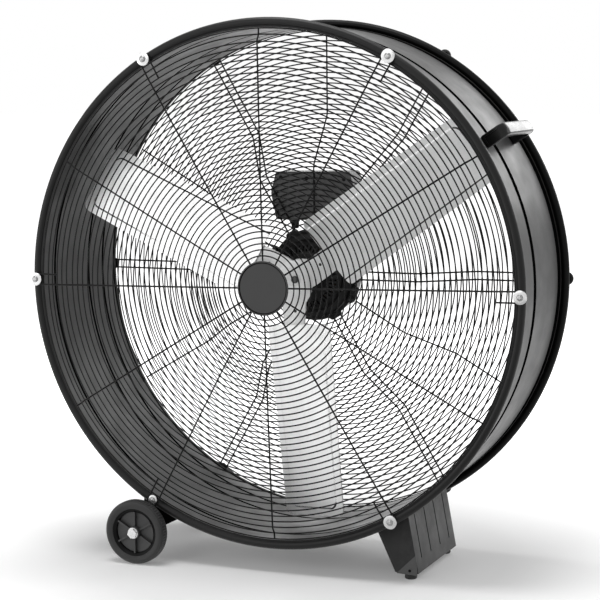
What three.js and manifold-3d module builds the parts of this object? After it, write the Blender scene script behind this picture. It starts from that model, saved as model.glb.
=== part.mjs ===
// Drum fan: a steel drum on two wheels and a foot, with a wire grille on each side,
// a three-blade rotor on the motor's shaft and a control box in the rear grille's dish.
// Millimetres, +Z up. The air leaves toward -Y, and the fan's axis runs along Y.
// The origin lies on the floor, under the middle of the drum.
import * as THREE from 'three';
import { mergeVertices } from 'three/addons/utils/BufferGeometryUtils.js';
import Module from 'manifold-3d';

const wasm = await Module();
wasm.setup();

// ---------------------------------------------------------------- sizes
const FIT = 0.3; // gap between faces that seat on each other
const SEGS = 48; // facets round the drum and everything that seats in it
const SMALL_SEGS = 24; // facets round the motor and the wheels
const WIRE_SIDES = 4;
const TURN = 2 * Math.PI;
const deg = THREE.MathUtils.degToRad;

// drum
const DRUM_R = 472.8; // outside of the drum's sheet
const DRUM_CLEAR = 60.2; // height of the drum's sheet over the floor
const AXIS_Z = DRUM_R + DRUM_CLEAR; // height of the fan's axis over the floor
const SHEET = 3;
const RIM_SPAN = 289.2; // from the middle of one rolled rim to the other
const ROLL_R = 8; // rolled edge
const ROLL_OUT = 7.2; // how far the roll's middle stands out past the sheet
const SWAGE_WIDTH = 9; // pressed stiffening lines
const SWAGE_DEPTH = 1.6;
const OUTER_SWAGES = [-34];
const INNER_SWAGES = [-100, 33, 91];

// grilles
const RING_WIRE = 2.4;
const SPOKE_WIRE = 3;
const WELD_BITE = 0.75; // share of the wires' half sum between crossing wires' middles
const SPOKES = 12;
const CLIPS = 6;
const SPOKE_TURN = deg(1.2); // front spokes stand a little past the clips
const HOOK_LENGTH = 46; // how far the loop's short side runs back in
const ON_RIM = 21; // how far in from the clips the wires lie flat
const FRONT_CROWN = 15.6; // grille's middle, in front of the rim's middle
const FRONT_EDGE = 9.4; // the same at the shoulder
const SHOULDER_IN = 26.8; // from the drum's outside in to the dome's edge
const SHOULDER_R = DRUM_R - SHOULDER_IN;
const TUCK_IN = 15.6; // the same to the ring where the grille has stepped back inside the rim
const TUCK_R = DRUM_R - TUCK_IN;
const TUCK_Y = 1.9;
const FRONT_RING_FIRST = 58.9;
const FRONT_RING_STEP = 48;
const REAR_RING_FIRST = 98.9;
const DISH_R = 211.2; // flat middle of the rear grille's dish
const DISH_TOP_R = 304.8;
const DISH_DEPTH = 72;
const DISH_RINGS = 3; // rings on the flat middle, on the cone and on the outer flat
const CONE_RINGS = 2;
const OUTER_RINGS = 4;
const ROD_HALF = 7.65; // half the spacing of a pair of rear rods
const ROD_START = 88; // where the rods end over the motor's lugs

// clips
const CLIP_R = DRUM_R + ROLL_OUT; // circle that the clips stand on, the crown of the rolled rim
const CLIP_BOLT_R = 3;
const CLIP_WASHER_R = 12.5;
const CLIP_WASHER = 1.6;
const CLIP_HEAD_R = 6;
const CLIP_HEAD = 3.4;
const TIGHT_CLIP_IN = 5; // the clip over the wheel sits further in and is smaller
const TIGHT_WASHER_R = 8.5;
const TIGHT_HEAD_R = 4.8;
const WHEEL_CLIP = 4; // number of the clip that the wheel passes

// hub disc on the front grille
const DISC_R = 50;
const DISC_THICK = 1.6;
const DISC_LIP = 1.1;
const DISC_LIP_WIDTH = 6;

// fan rotor
const BLADES = 3;
const BLADE_TURN = deg(34.8); // direction of the first blade, from +X toward +Z
const PITCH = deg(15);
const BLADE_Y = -23.5;
const BLADE_THICK = 2.4;
const BLADE_ROOT = 84;
const TIP_CLEAR = 22.8; // from the drum's outside in to the blades' tips
const BLADE_TIP = DRUM_R - TIP_CLEAR;
const BLADE_SHIFT = 3.4; // blade's middle line, off the radial line
const ROOT_HALF = 74;
const TIP_HALF = 67.5;
const TIP_CORNER = 14;
const ROOT_CORNER = 10;
const CREASE_IN = 14; // pressed panel's line, inside the blade's edge
const CREASE_WIDTH = 2.5;
const PANEL_RISE = 1.6;
const ARM_HALF = 23.5;
const ARM_LENGTH = 165;
const ARM_THICK = 5;
const SPIDER_R = 36;
const SHAFT_R = 6.6;
const BOSS_R = 20;
const BOSS_LENGTH = 32;

// motor
const MOTOR_FACE_Y = 37.9;
const MOTOR_R = 83;
const MOTOR_WALL = 6;
const BELL_FACE_R = 62;
const BELL_SHOULDER = 13; // depth of the bell's rounded shoulder
const FLANGE_R = 88.8;
const FLANGE_THICK = 4;
const LUG_REACH = 94.8;
const LUG_HALF = 13;
const VENTS = 12;
const VENT_IN = 50;
const VENT_OUT = 60;
const VENT_WIDTH = 3.2;
const HOUSING_LENGTH = 38;
const REAR_BELL_DEPTH = 18;
const BEARING_R = 17.7;
const BEARING_WIDTH = 10;
const SEAT_WALL = 5;
const STATOR_IN = 45.4;
const CORE_LENGTH = 30;

// control box, sizes from the fan's axis
const BOX_OUTLINE = [[-81, 197], [73, 199], [79, 175], [81, 144], [75, 104], [-81, 104], [-92, 156]];
const BOX_DEPTH = 55;
const BOX_WALL = 2.5;
const BOX_BEVEL = 3;
const LID_THICK = 2;
const KNOB = { x: 34, z: 152, r: 15, length: 15, stemR: 3 };
const SWITCH = { w: 32, h: 30, depth: 26 };
const CAPACITOR = { x: -38, z: 150, r: 21, length: 48 };
const GLAND = { x: -52, r: 9, length: 18, bore: 4.5 };
const CONDUIT_R = 8;

// carrying handle, in the drum's radial direction
const HANDLE_TURN = deg(33.75);
const HANDLE_FRONT = -89;
const HANDLE_REAR = 84;
const HANDLE_RISE = 49.5;
const HANDLE_WIDTH = 25;
const HANDLE_LEG = 15;
const HANDLE_GRIP = 15;
const HANDLE_CORNER = 14;
const HANDLE_BEVEL = 3;

// wheels
const WHEEL_R = 61;
const AXLE_OUT = 68.552; // from the drum's outside out to the axle
const WHEEL_WIDTH = 28;
const WHEEL_CLEAR = 13.8; // from the middle of a rolled rim out to the wheel beside it
const TYRE_SHOULDER = 5;
const TYRE_SEAT_R = 45;
const HUB_RIM = 6;
const HUB_WEB = 6;
const HUB_BOSS_R = 12;
const HUB_RIBS = 6;
const HUB_RIB = 4;
const AXLE_R = 6;
const AXLE_RUN = 0.4; // wheel's running gap on the axle
const AXLE_WASHER_R = 10.5;
const AXLE_WASHER = 1.5;
const AXLE_HEAD_R = 9;
const AXLE_HEAD = 5;
const GUSSET_FACE_Y = 136.2; // outer face of each wheel bracket
const GUSSET_THICK = 4;
const GUSSET_LEFT = 36;
const GUSSET_RIGHT = 63;
const GUSSET_EYE_R = 15;

// foot
const FOOT_BOTTOM_Z = 12.2;
const FOOT_FRONT = -106;
const FOOT_REAR = 115;
const FOOT_IN = 231;
const FOOT_OUT = 276;
const FOOT_WALL = 4;
const FOOT_LEAN_IN = 0.463; // run inward for each unit of height, inner edge
const FOOT_LEAN_OUT = 0.18;
const FOOT_GROOVES = 4;
const FOOT_GROOVE_WIDTH = 7;
const FOOT_GROOVE_DEPTH = 1.8;
const PAD_R = 11.5;
const PAD_X = 257;
const PAD_INSET = 13;

// ---------------------------------------------------------------- helpers
const fan = new THREE.Group();

// A closed geometry with its faces turned outward and its shared corners merged.
function closed(geometry) {
  const plain = geometry.index ? geometry.toNonIndexed() : geometry.clone();
  for (const name of Object.keys(plain.attributes)) {
    if (name !== 'position') plain.deleteAttribute(name);
  }
  const merged = mergeVertices(plain, 1e-4);
  const corners = merged.attributes.position;
  const index = [];
  const a = new THREE.Vector3();
  const b = new THREE.Vector3();
  const c = new THREE.Vector3();
  let volume = 0;
  for (let i = 0; i < merged.index.count; i += 3) {
    const [p, q, r] = [0, 1, 2].map((k) => merged.index.getX(i + k));
    if (p === q || q === r || r === p) continue;
    a.fromBufferAttribute(corners, p);
    b.fromBufferAttribute(corners, q);
    c.fromBufferAttribute(corners, r);
    volume += a.dot(b.cross(c));
    index.push(p, q, r);
  }
  if (volume < 0) index.reverse();
  merged.setIndex(index);
  return merged;
}

function solid(geometry) {
  const tidy = closed(geometry);
  return new wasm.Manifold(new wasm.Mesh({
    numProp: 3,
    vertProperties: new Float32Array(tidy.attributes.position.array),
    triVerts: new Uint32Array(tidy.index.array),
  }));
}

function geometryOf(body) {
  const mesh = body.getMesh();
  const geometry = new THREE.BufferGeometry();
  geometry.setAttribute('position', new THREE.BufferAttribute(mesh.vertProperties, 3));
  geometry.setIndex(new THREE.BufferAttribute(mesh.triVerts, 1));
  return geometry;
}

const join = (geometries) => geometries.map(solid).reduce((whole, piece) => whole.add(piece));
const cut = (body, geometries) => geometries.map(solid).reduce((rest, tool) => rest.subtract(tool), body);

function add(name, geometry, material, parent = fan) {
  const flat = geometry.index ? geometry.toNonIndexed() : geometry.clone();
  flat.computeVertexNormals();
  const mesh = new THREE.Mesh(flat, material);
  mesh.name = name;
  parent.add(mesh);
  return mesh;
}

// A full ring from a closed outline of [radius, y] points round the Y axis.
function ring(outline, segs = SEGS) {
  const points = outline.map(([r, y]) => new THREE.Vector2(r, y));
  if (outline[0][0] > 0 || outline.at(-1)[0] > 0) points.push(points[0].clone());
  return closed(new THREE.LatheGeometry(points, segs));
}

// A disc or stepped pin: its outline starts and ends on the axis.
function turned(outline, segs) {
  return closed(new THREE.LatheGeometry(outline.map(([r, y]) => new THREE.Vector2(r, y)), segs));
}

// Corners of a wire's section, as [x, y] points round its middle, the first one at an angle.
const section = (wire, sides, from = 0) => Array.from({ length: sides }, (_, i) => {
  const a = from + i * TURN / sides;
  return [wire / 2 * Math.cos(a), wire / 2 * Math.sin(a)];
});

// One ring of a grille, with a corner of its section toward the wires that cross it.
function ringWire(radius, y, toward) {
  const segs = SEGS * THREE.MathUtils.clamp(Math.ceil(4 * radius / SHOULDER_R) / 4, 0.5, 1);
  return ring(section(RING_WIRE, 3, toward * Math.PI / 2).map(([x, z]) => [radius + x, y + z]), segs);
}

// A line that is straight between its points, sampled at each of them.
class Bends extends THREE.Curve {
  constructor(points) {
    super();
    this.points = points;
  }

  getUtoTmapping(u) {
    return u;
  }

  getPoint(t) {
    const place = t * (this.points.length - 1);
    const i = Math.min(Math.floor(place), this.points.length - 2);
    return this.points[i].clone().lerp(this.points[i + 1], place - i);
  }
}

// A wire bent at each of its points.
function bentWire(points) {
  const shape = new THREE.Shape(section(SPOKE_WIRE, WIRE_SIDES).map(([x, y]) => new THREE.Vector2(x, y)));
  return new THREE.ExtrudeGeometry(shape, { extrudePath: new Bends(points), steps: points.length - 1 });
}

// A flat plate in the X-Z plane, from an outline of [x, z] points, between two values of y.
function plate(outline, fromY, toY, bevel = 0) {
  const shape = outline instanceof THREE.Shape ? outline
    : new THREE.Shape(outline.map(([x, z]) => new THREE.Vector2(x, z)));
  const geometry = new THREE.ExtrudeGeometry(shape, {
    depth: toY - fromY - 2 * bevel,
    curveSegments: 8,
    bevelEnabled: bevel > 0,
    bevelThickness: bevel,
    bevelSize: bevel,
    bevelOffset: -bevel,
    bevelSegments: 1,
  });
  return geometry.rotateX(Math.PI / 2).translate(0, toY - bevel, 0);
}

// Turns a geometry from the +X direction to an angle round the fan's axis.
const swung = (geometry, angle) => geometry.clone().rotateY(-angle);

const paint = (color, roughness, metalness) => (
  new THREE.MeshStandardMaterial({ color, roughness, metalness })
);
const drumPaint = paint(0x9a9c9e, 0.35, 0.4);
const darkPaint = paint(0x3a3b3d, 0.4, 0.3);
const blackPaint = paint(0x1c1c1e, 0.45, 0.3);
const aluminium = paint(0xd8dadc, 0.4, 0.9);
const castMetal = paint(0xb4b6b8, 0.5, 0.8);
const zinc = paint(0xc4c6c8, 0.3, 0.9);
const rubber = paint(0x2a2a2c, 0.85, 0);
const plastic = paint(0x2c2d2f, 0.55, 0);
const copper = paint(0x9a5a34, 0.5, 0.7);

const inAxis = new THREE.Group(); // everything centred on the fan's axis
inAxis.position.z = AXIS_Z;
fan.add(inAxis);

// ---------------------------------------------------------------- drum
const rimY = RIM_SPAN / 2;
const rollChord = Math.sqrt(ROLL_R ** 2 - ROLL_OUT ** 2); // half the roll's width where it meets the sheet
const drumInside = DRUM_R - SHEET;

function swageOutline(face, depth, places) {
  return places.flatMap((y) => [
    [face, y - SWAGE_WIDTH / 2],
    [face - depth, y],
    [face, y + SWAGE_WIDTH / 2],
  ]);
}

function drumShell() {
  const end = rimY - rollChord - FIT;
  const outer = [[DRUM_R, -end], ...swageOutline(DRUM_R, SWAGE_DEPTH, OUTER_SWAGES), [DRUM_R, end]];
  const swages = swageOutline(drumInside, -SWAGE_DEPTH, INNER_SWAGES);
  const inner = [[drumInside, -end], ...swages, [drumInside, end]];
  return ring([...outer, ...inner.reverse()]);
}

// The rolled edge: a round roll with a short lip that carries the sheet's line on.
function rolledRim(y) {
  const open = Math.acos(-ROLL_OUT / ROLL_R);
  const steps = 6;
  const roll = Array.from({ length: steps + 1 }, (_, i) => {
    const a = open * (2 * i / steps - 1);
    return [DRUM_R + ROLL_OUT + ROLL_R * Math.cos(a), y + ROLL_R * Math.sin(a)];
  });
  return ring([...roll, [drumInside, y + rollChord], [drumInside, y - rollChord]]);
}

add('drum_shell', drumShell(), drumPaint, inAxis);
add('front_rim', rolledRim(-rimY), darkPaint, inAxis);
add('rear_rim', rolledRim(rimY), blackPaint, inAxis);

// ---------------------------------------------------------------- grilles
const outerRingR = drumInside - FIT - RING_WIRE / 2;
const crossing = WELD_BITE * (RING_WIRE + SPOKE_WIRE) / 2; // between the middles of welded wires
const onRim = ROLL_R + FIT + SPOKE_WIRE / 2; // a wire's middle, resting on the rim's face

// Depth of the front grille in front of the rim's middle: a shallow dome.
const dome = (r) => FRONT_CROWN - (FRONT_CROWN - FRONT_EDGE) * (r / SHOULDER_R) ** 2;

const polar = (r, y, turn) => new THREE.Vector3(r * Math.cos(turn), y, r * Math.sin(turn));

// The wire's half turn round one clip, from the side that its spoke comes out on.
function loopPoints(turn, half, y) {
  const middle = polar(CLIP_R, y, turn);
  const side = polar(half, 0, turn + Math.PI / 2);
  const out = polar(half, 0, turn);
  return Array.from({ length: 5 }, (_, i) => {
    const a = Math.PI * i / 4;
    return middle.clone().addScaledVector(side, Math.cos(a)).addScaledVector(out, Math.sin(a));
  });
}

// Where a front spoke runs: over the dome, then down onto the rim or in behind it.
function spokePoints(turn, atClip) {
  const stops = [DISC_R / 2, SHOULDER_R / 3, 2 * SHOULDER_R / 3, SHOULDER_R];
  const onDome = stops.map((r) => [r, dome(r) + crossing]);
  const end = atClip ? [[CLIP_R - ON_RIM, onRim]]
    : [[TUCK_R, TUCK_Y + crossing], [outerRingR, TUCK_Y + crossing]];
  return [...onDome, ...end].map(([r, y]) => polar(r, -rimY - y, turn));
}

// A spoke at a clip goes on round the clip and hooks a short way back in over the outer rings.
function hookedSpoke(turn) {
  const clipTurn = turn - SPOKE_TURN;
  const half = CLIP_R * Math.sin(SPOKE_TURN);
  const side = polar(-half, 0, clipTurn + Math.PI / 2);
  const low = FRONT_EDGE + crossing;
  const back = [[CLIP_R - ON_RIM, onRim], [SHOULDER_R, low], [CLIP_R - HOOK_LENGTH, low]];
  return [
    ...spokePoints(turn, true),
    ...loopPoints(clipTurn, half, -rimY - onRim),
    ...back.map(([r, y]) => polar(r, -rimY - y, clipTurn).add(side)),
  ];
}

function frontGrille() {
  const pieces = [];
  for (let r = FRONT_RING_FIRST; r < SHOULDER_R - FRONT_RING_STEP / 2; r += FRONT_RING_STEP) {
    pieces.push(ringWire(r, -rimY - dome(r), -1));
  }
  pieces.push(ringWire(SHOULDER_R, -rimY - FRONT_EDGE, -1));
  pieces.push(ringWire(outerRingR, -rimY - TUCK_Y, -1));
  for (let i = 0; i < SPOKES; i += 1) {
    const turn = SPOKE_TURN + i * TURN / SPOKES;
    const atClip = i % (SPOKES / CLIPS) === 0;
    pieces.push(bentWire(atClip ? hookedSpoke(turn) : spokePoints(turn, false)));
  }
  return geometryOf(join(pieces));
}

// Height of the rear grille behind the rim's middle: a dish, a cone and an outer flat.
const rearFlatY = rimY + onRim;
const dishY = rearFlatY - DISH_DEPTH;
const coneAt = (r) => dishY + DISH_DEPTH * THREE.MathUtils.clamp((r - DISH_R) / (DISH_TOP_R - DISH_R), 0, 1);

function rearRingRadii() {
  const spread = (from, to, count) => (
    Array.from({ length: count }, (_, i) => from + (to - from) * i / (count - 1))
  );
  return [
    ...spread(REAR_RING_FIRST, DISH_R - RING_WIRE, DISH_RINGS),
    ...spread(DISH_R + (DISH_TOP_R - DISH_R) / 3, DISH_TOP_R, CONE_RINGS),
    ...spread(DISH_TOP_R + 40, outerRingR, OUTER_RINGS),
  ];
}

// Rods run from the motor's lugs down the dish, in pairs that loop round the clips, or singly.
function rearGrille() {
  const pieces = rearRingRadii().map((r) => ringWire(r, coneAt(r) - crossing, 1));
  const rod = (radii, turn, offset) => radii.map((r) => (
    polar(r, coneAt(r), turn).add(polar(offset, 0, turn + Math.PI / 2))
  ));
  for (let i = 0; i < SPOKES; i += 1) {
    const turn = i * TURN / SPOKES;
    if (i % (SPOKES / CLIPS) === 0) {
      const out = rod([ROD_START, DISH_R, DISH_TOP_R], turn, ROD_HALF);
      const back = rod([DISH_TOP_R, DISH_R, ROD_START], turn, -ROD_HALF);
      pieces.push(bentWire([...out, ...loopPoints(turn, ROD_HALF, rearFlatY), ...back]));
    } else {
      pieces.push(bentWire(rod([REAR_RING_FIRST, DISH_R, DISH_TOP_R, outerRingR], turn, 0)));
    }
  }
  return geometryOf(join(pieces));
}

add('front_grille', frontGrille(), blackPaint, inAxis);
add('rear_grille', rearGrille(), blackPaint, inAxis);

// ---------------------------------------------------------------- clips
function clip(washerR, headR) {
  const seat = FIT + SPOKE_WIRE;
  const face = seat + FIT + CLIP_WASHER;
  return turned([
    [0, FIT], [CLIP_BOLT_R, FIT], [CLIP_BOLT_R, seat + FIT], [washerR, seat + FIT], [washerR, face],
    [headR, face], [headR * 0.7, face + CLIP_HEAD * 0.8], [0, face + CLIP_HEAD],
  ], 8);
}

for (const [side, sign] of [['front', -1], ['rear', 1]]) {
  for (let i = 0; i < CLIPS; i += 1) {
    const tight = i === WHEEL_CLIP;
    const geometry = tight ? clip(TIGHT_WASHER_R, TIGHT_HEAD_R) : clip(CLIP_WASHER_R, CLIP_HEAD_R);
    const mesh = add(`${side}_clip_${i + 1}`, geometry, zinc, inAxis);
    const radius = tight ? CLIP_R - TIGHT_CLIP_IN : CLIP_R;
    mesh.position.copy(polar(radius, sign * (rimY + ROLL_R), i * TURN / CLIPS));
    if (sign < 0) mesh.rotation.x = Math.PI;
  }
}

// ---------------------------------------------------------------- hub disc
function hubDisc() {
  const back = -rimY - FRONT_CROWN - crossing - SPOKE_WIRE / 2 - FIT;
  const face = back - DISC_THICK;
  const lip = DISC_R - DISC_LIP_WIDTH;
  return turned([
    [0, back], [DISC_R - 2, back], [DISC_R, back - 1], [DISC_R, face],
    [DISC_R - DISC_LIP_WIDTH / 2, face - DISC_LIP], [lip, face - DISC_LIP / 2], [lip - 1, face], [0, face],
  ], SMALL_SEGS);
}
add('front_hub_disc', hubDisc(), darkPaint, inAxis);

// ---------------------------------------------------------------- fan rotor
// A pressed sheet: rows of [x, z, rise] points, with its thickness along Y.
function pressedSheet(rows, thickness) {
  const columns = rows[0].length;
  const corners = [];
  for (const side of [-1, 1]) {
    for (const row of rows) {
      for (const [x, z, rise] of row) corners.push(x, side * thickness / 2 - rise, z);
    }
  }
  const at = (side, i, j) => (side * rows.length + i) * columns + j;
  const index = [];
  const quad = (a, b, c, d) => index.push(a, b, c, a, c, d);
  for (let i = 0; i + 1 < rows.length; i += 1) {
    for (let j = 0; j + 1 < columns; j += 1) {
      quad(at(0, i, j), at(0, i + 1, j), at(0, i + 1, j + 1), at(0, i, j + 1));
      quad(at(1, i, j), at(1, i, j + 1), at(1, i + 1, j + 1), at(1, i + 1, j));
    }
    quad(at(0, i, 0), at(1, i, 0), at(1, i + 1, 0), at(0, i + 1, 0));
    const j = columns - 1;
    quad(at(0, i, j), at(0, i + 1, j), at(1, i + 1, j), at(1, i, j));
  }
  for (let j = 0; j + 1 < columns; j += 1) {
    const i = rows.length - 1;
    quad(at(0, 0, j), at(0, 0, j + 1), at(1, 0, j + 1), at(1, 0, j));
    quad(at(0, i, j), at(1, i, j), at(1, i, j + 1), at(0, i, j + 1));
  }
  const geometry = new THREE.BufferGeometry();
  geometry.setAttribute('position', new THREE.BufferAttribute(new Float32Array(corners), 3));
  geometry.setIndex(index);
  return closed(geometry);
}

// How far a corner of the given radius draws the edge in, at a distance from the blade's end.
const cornerInset = (radius, distance) => (distance >= radius ? 0
  : radius - Math.sqrt(radius ** 2 - (radius - distance) ** 2));

function bladeSheet() {
  const creaseEnd = CREASE_IN + CREASE_WIDTH;
  const along = (share) => BLADE_ROOT + share * (BLADE_TIP - BLADE_ROOT);
  const stations = [
    along(0), BLADE_ROOT + ROOT_CORNER / 3, BLADE_ROOT + ROOT_CORNER,
    along(0.25), along(0.5), along(0.75),
    ...[creaseEnd, TIP_CORNER, TIP_CORNER / 2, TIP_CORNER / 8, 0].map((inset) => BLADE_TIP - inset),
  ];
  const rows = stations.map((x) => {
    const share = (x - BLADE_ROOT) / (BLADE_TIP - BLADE_ROOT);
    const full = THREE.MathUtils.lerp(ROOT_HALF, TIP_HALF, share);
    const inset = cornerInset(TIP_CORNER, BLADE_TIP - x) + cornerInset(ROOT_CORNER, x - BLADE_ROOT);
    const inPanel = x > BLADE_ROOT && x <= BLADE_TIP - creaseEnd;
    const edge = full - inset;
    const creaseOut = Math.min(full - CREASE_IN, edge - 1);
    const creaseIn = creaseOut - CREASE_WIDTH;
    const rise = inPanel ? PANEL_RISE : 0;
    return [
      [x, -edge, 0], [x, -creaseOut, 0], [x, -creaseIn, rise], [x, 0, rise],
      [x, creaseIn, rise], [x, creaseOut, 0], [x, edge, 0],
    ].map(([px, pz, py]) => [px, pz + BLADE_SHIFT, py]);
  });
  return pressedSheet(rows, BLADE_THICK);
}

const armSet = BLADE_THICK / 2 + FIT + ARM_THICK / 2; // arm's middle behind the blade's
const spiderY = BLADE_Y + armSet / Math.cos(PITCH);
const spiderHalf = ARM_THICK / 2 + ARM_HALF * Math.sin(PITCH); // covers the arms where they cross

function fanSpider() {
  const arms = Array.from({ length: BLADES }, (_, i) => {
    const arm = new THREE.BoxGeometry(ARM_LENGTH, ARM_THICK, 2 * ARM_HALF);
    arm.translate(ARM_LENGTH / 2, 0, 0).rotateX(PITCH).translate(0, spiderY, 0);
    return swung(arm, BLADE_TURN + i * TURN / BLADES);
  });
  const hubPlate = turned([
    [0, spiderY - spiderHalf], [SPIDER_R, spiderY - spiderHalf], [SPIDER_R, spiderY + spiderHalf],
    [0, spiderY + spiderHalf],
  ], SMALL_SEGS);
  const bore = new THREE.CylinderGeometry(SHAFT_R + FIT, SHAFT_R + FIT, 8 * ARM_HALF, SMALL_SEGS);
  return geometryOf(cut(join([hubPlate, ...arms]), [bore]));
}

const bossY = spiderY + spiderHalf + FIT; // front face of the boss behind the spider
const statorY = MOTOR_FACE_Y + BELL_SHOULDER + 32;

function hubBoss() {
  const bore = SHAFT_R + FIT;
  const flange = SPIDER_R - 6;
  return ring([
    [bore, bossY], [flange, bossY], [flange, bossY + 4], [BOSS_R, bossY + 6],
    [BOSS_R, bossY + BOSS_LENGTH], [bore, bossY + BOSS_LENGTH],
  ], SMALL_SEGS);
}

function rotorShaft() {
  const tip = spiderY - spiderHalf - 5;
  const tail = motorRearY - MOTOR_WALL - 1;
  const core = STATOR_IN - 0.8;
  return turned([
    [0, tip], [SHAFT_R - 1, tip], [SHAFT_R, tip + 1], [SHAFT_R, statorY], [core, statorY],
    [core, statorY + CORE_LENGTH], [SHAFT_R, statorY + CORE_LENGTH], [SHAFT_R, tail], [0, tail],
  ], SMALL_SEGS);
}

// ---------------------------------------------------------------- motor
const flangeY = dishY - SPOKE_WIRE / 2 - FIT - FLANGE_THICK; // lugs seat on the rear grille's rods
const bellRearY = flangeY - FIT;
const housingY = flangeY + FLANGE_THICK + FIT;
const rearBellY = housingY + HOUSING_LENGTH + FIT;
const motorRearY = rearBellY + REAR_BELL_DEPTH;
const shaftHole = SHAFT_R + 2.4;
const seatR = BEARING_R + FIT;
const motorInside = MOTOR_R - MOTOR_WALL;
const frontBearingY = MOTOR_FACE_Y + MOTOR_WALL + FIT;
const rearBearingY = motorRearY - MOTOR_WALL - FIT - BEARING_WIDTH;

function frontBell() {
  const face = MOTOR_FACE_Y;
  const seatEnd = face + MOTOR_WALL + BEARING_WIDTH;
  const body = solid(ring([
    [shaftHole, face], [BELL_FACE_R, face],
    [BELL_FACE_R + 0.7 * (MOTOR_R - BELL_FACE_R), face + 0.3 * BELL_SHOULDER],
    [MOTOR_R, face + BELL_SHOULDER], [MOTOR_R, bellRearY], [motorInside, bellRearY],
    [motorInside, face + BELL_SHOULDER + 2], [BELL_FACE_R, face + MOTOR_WALL],
    [seatR + SEAT_WALL, face + MOTOR_WALL], [seatR + SEAT_WALL, seatEnd], [seatR, seatEnd],
    [seatR, face + MOTOR_WALL], [shaftHole, face + MOTOR_WALL],
  ], SMALL_SEGS));
  const vents = Array.from({ length: VENTS }, (_, i) => {
    const slot = new THREE.BoxGeometry(VENT_OUT - VENT_IN, 3 * MOTOR_WALL, VENT_WIDTH);
    return swung(slot.translate((VENT_IN + VENT_OUT) / 2, face, 0), i * TURN / VENTS);
  });
  return geometryOf(cut(body, vents));
}

function motorFlange() {
  const face = ring([
    [motorInside, flangeY], [FLANGE_R, flangeY], [FLANGE_R, flangeY + FLANGE_THICK],
    [motorInside, flangeY + FLANGE_THICK],
  ], SMALL_SEGS);
  const lugs = Array.from({ length: CLIPS }, (_, i) => {
    const lug = new THREE.BoxGeometry(LUG_REACH - MOTOR_R, FLANGE_THICK, 2 * LUG_HALF);
    lug.translate((LUG_REACH + MOTOR_R) / 2, flangeY + FLANGE_THICK / 2, 0);
    return swung(lug, i * TURN / CLIPS);
  });
  return geometryOf(join([face, ...lugs]));
}

const motorHousing = () => ring([
  [motorInside, housingY], [MOTOR_R, housingY], [MOTOR_R, housingY + HOUSING_LENGTH],
  [motorInside, housingY + HOUSING_LENGTH],
], SMALL_SEGS);

function rearBell() {
  const inside = motorRearY - MOTOR_WALL;
  return turned([
    [0, motorRearY], [BELL_FACE_R, motorRearY], [MOTOR_R - 3, rearBellY + REAR_BELL_DEPTH / 2],
    [MOTOR_R, rearBellY], [motorInside, rearBellY], [BELL_FACE_R, inside], [seatR + SEAT_WALL, inside],
    [seatR + SEAT_WALL, rearBearingY], [seatR, rearBearingY], [seatR, inside], [0, inside],
  ], SMALL_SEGS);
}

function bearing(y) {
  const bore = SHAFT_R + FIT;
  const end = y + BEARING_WIDTH;
  return ring([[bore, y], [BEARING_R, y], [BEARING_R, end], [bore, end]], SMALL_SEGS);
}

const stator = () => ring([
  [STATOR_IN, statorY], [motorInside - FIT, statorY], [motorInside - FIT, statorY + CORE_LENGTH],
  [STATOR_IN, statorY + CORE_LENGTH],
], SMALL_SEGS);

add('motor_front_bell', frontBell(), blackPaint, inAxis);
add('motor_flange', motorFlange(), blackPaint, inAxis);
add('motor_housing', motorHousing(), blackPaint, inAxis);
add('motor_rear_bell', rearBell(), blackPaint, inAxis);
add('front_bearing', bearing(frontBearingY), zinc, inAxis);
add('rear_bearing', bearing(rearBearingY), zinc, inAxis);
add('stator', stator(), copper, inAxis);

add('rotor_shaft', rotorShaft(), castMetal, inAxis);
add('hub_boss', hubBoss(), castMetal, inAxis);
add('fan_spider', fanSpider(), castMetal, inAxis);
for (let i = 0; i < BLADES; i += 1) {
  const direction = new THREE.Group();
  direction.rotation.y = -(BLADE_TURN + i * TURN / BLADES);
  inAxis.add(direction);
  const blade = add(`blade_${i + 1}`, bladeSheet(), aluminium, direction);
  blade.position.y = BLADE_Y;
  blade.rotation.x = PITCH;
}

// ---------------------------------------------------------------- control box
const boxY = dishY + SPOKE_WIRE / 2 + FIT; // its face seats on the rear grille's rods
const lidY = boxY + BOX_DEPTH + FIT;
const boxMiddle = new THREE.Vector2(
  (BOX_OUTLINE[0][0] + BOX_OUTLINE[1][0]) / 2,
  (BOX_OUTLINE[0][1] + BOX_OUTLINE[4][1]) / 2,
);
const boxBottom = BOX_OUTLINE[4][1];

// The box's outline drawn in by a wall's thickness, toward its middle.
const boxInset = (wall) => BOX_OUTLINE.map(([x, z]) => {
  const out = new THREE.Vector2(x, z).sub(boxMiddle);
  return [x - Math.sign(out.x) * wall, z - Math.sign(out.y) * wall];
});

function controlBox() {
  const outer = solid(plate(BOX_OUTLINE, boxY, boxY + BOX_DEPTH, BOX_BEVEL));
  const wall = BOX_WALL + BOX_BEVEL;
  return geometryOf(cut(outer, [plate(boxInset(wall), boxY + wall, lidY + 1)]));
}

function controlLid() {
  const stemHole = new THREE.CylinderGeometry(KNOB.stemR + FIT, KNOB.stemR + FIT, 6 * LID_THICK, 12);
  stemHole.translate(KNOB.x, lidY, KNOB.z);
  return geometryOf(cut(solid(plate(boxInset(BOX_BEVEL), lidY, lidY + LID_THICK)), [stemHole]));
}

function switchBody() {
  const end = lidY - FIT;
  const body = new THREE.BoxGeometry(SWITCH.w, SWITCH.depth, SWITCH.h);
  body.translate(KNOB.x, end - SWITCH.depth / 2, KNOB.z);
  const well = new THREE.CylinderGeometry(KNOB.stemR + FIT, KNOB.stemR + FIT, 12, 12);
  well.translate(KNOB.x, end, KNOB.z);
  return geometryOf(cut(solid(body), [well]));
}

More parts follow.
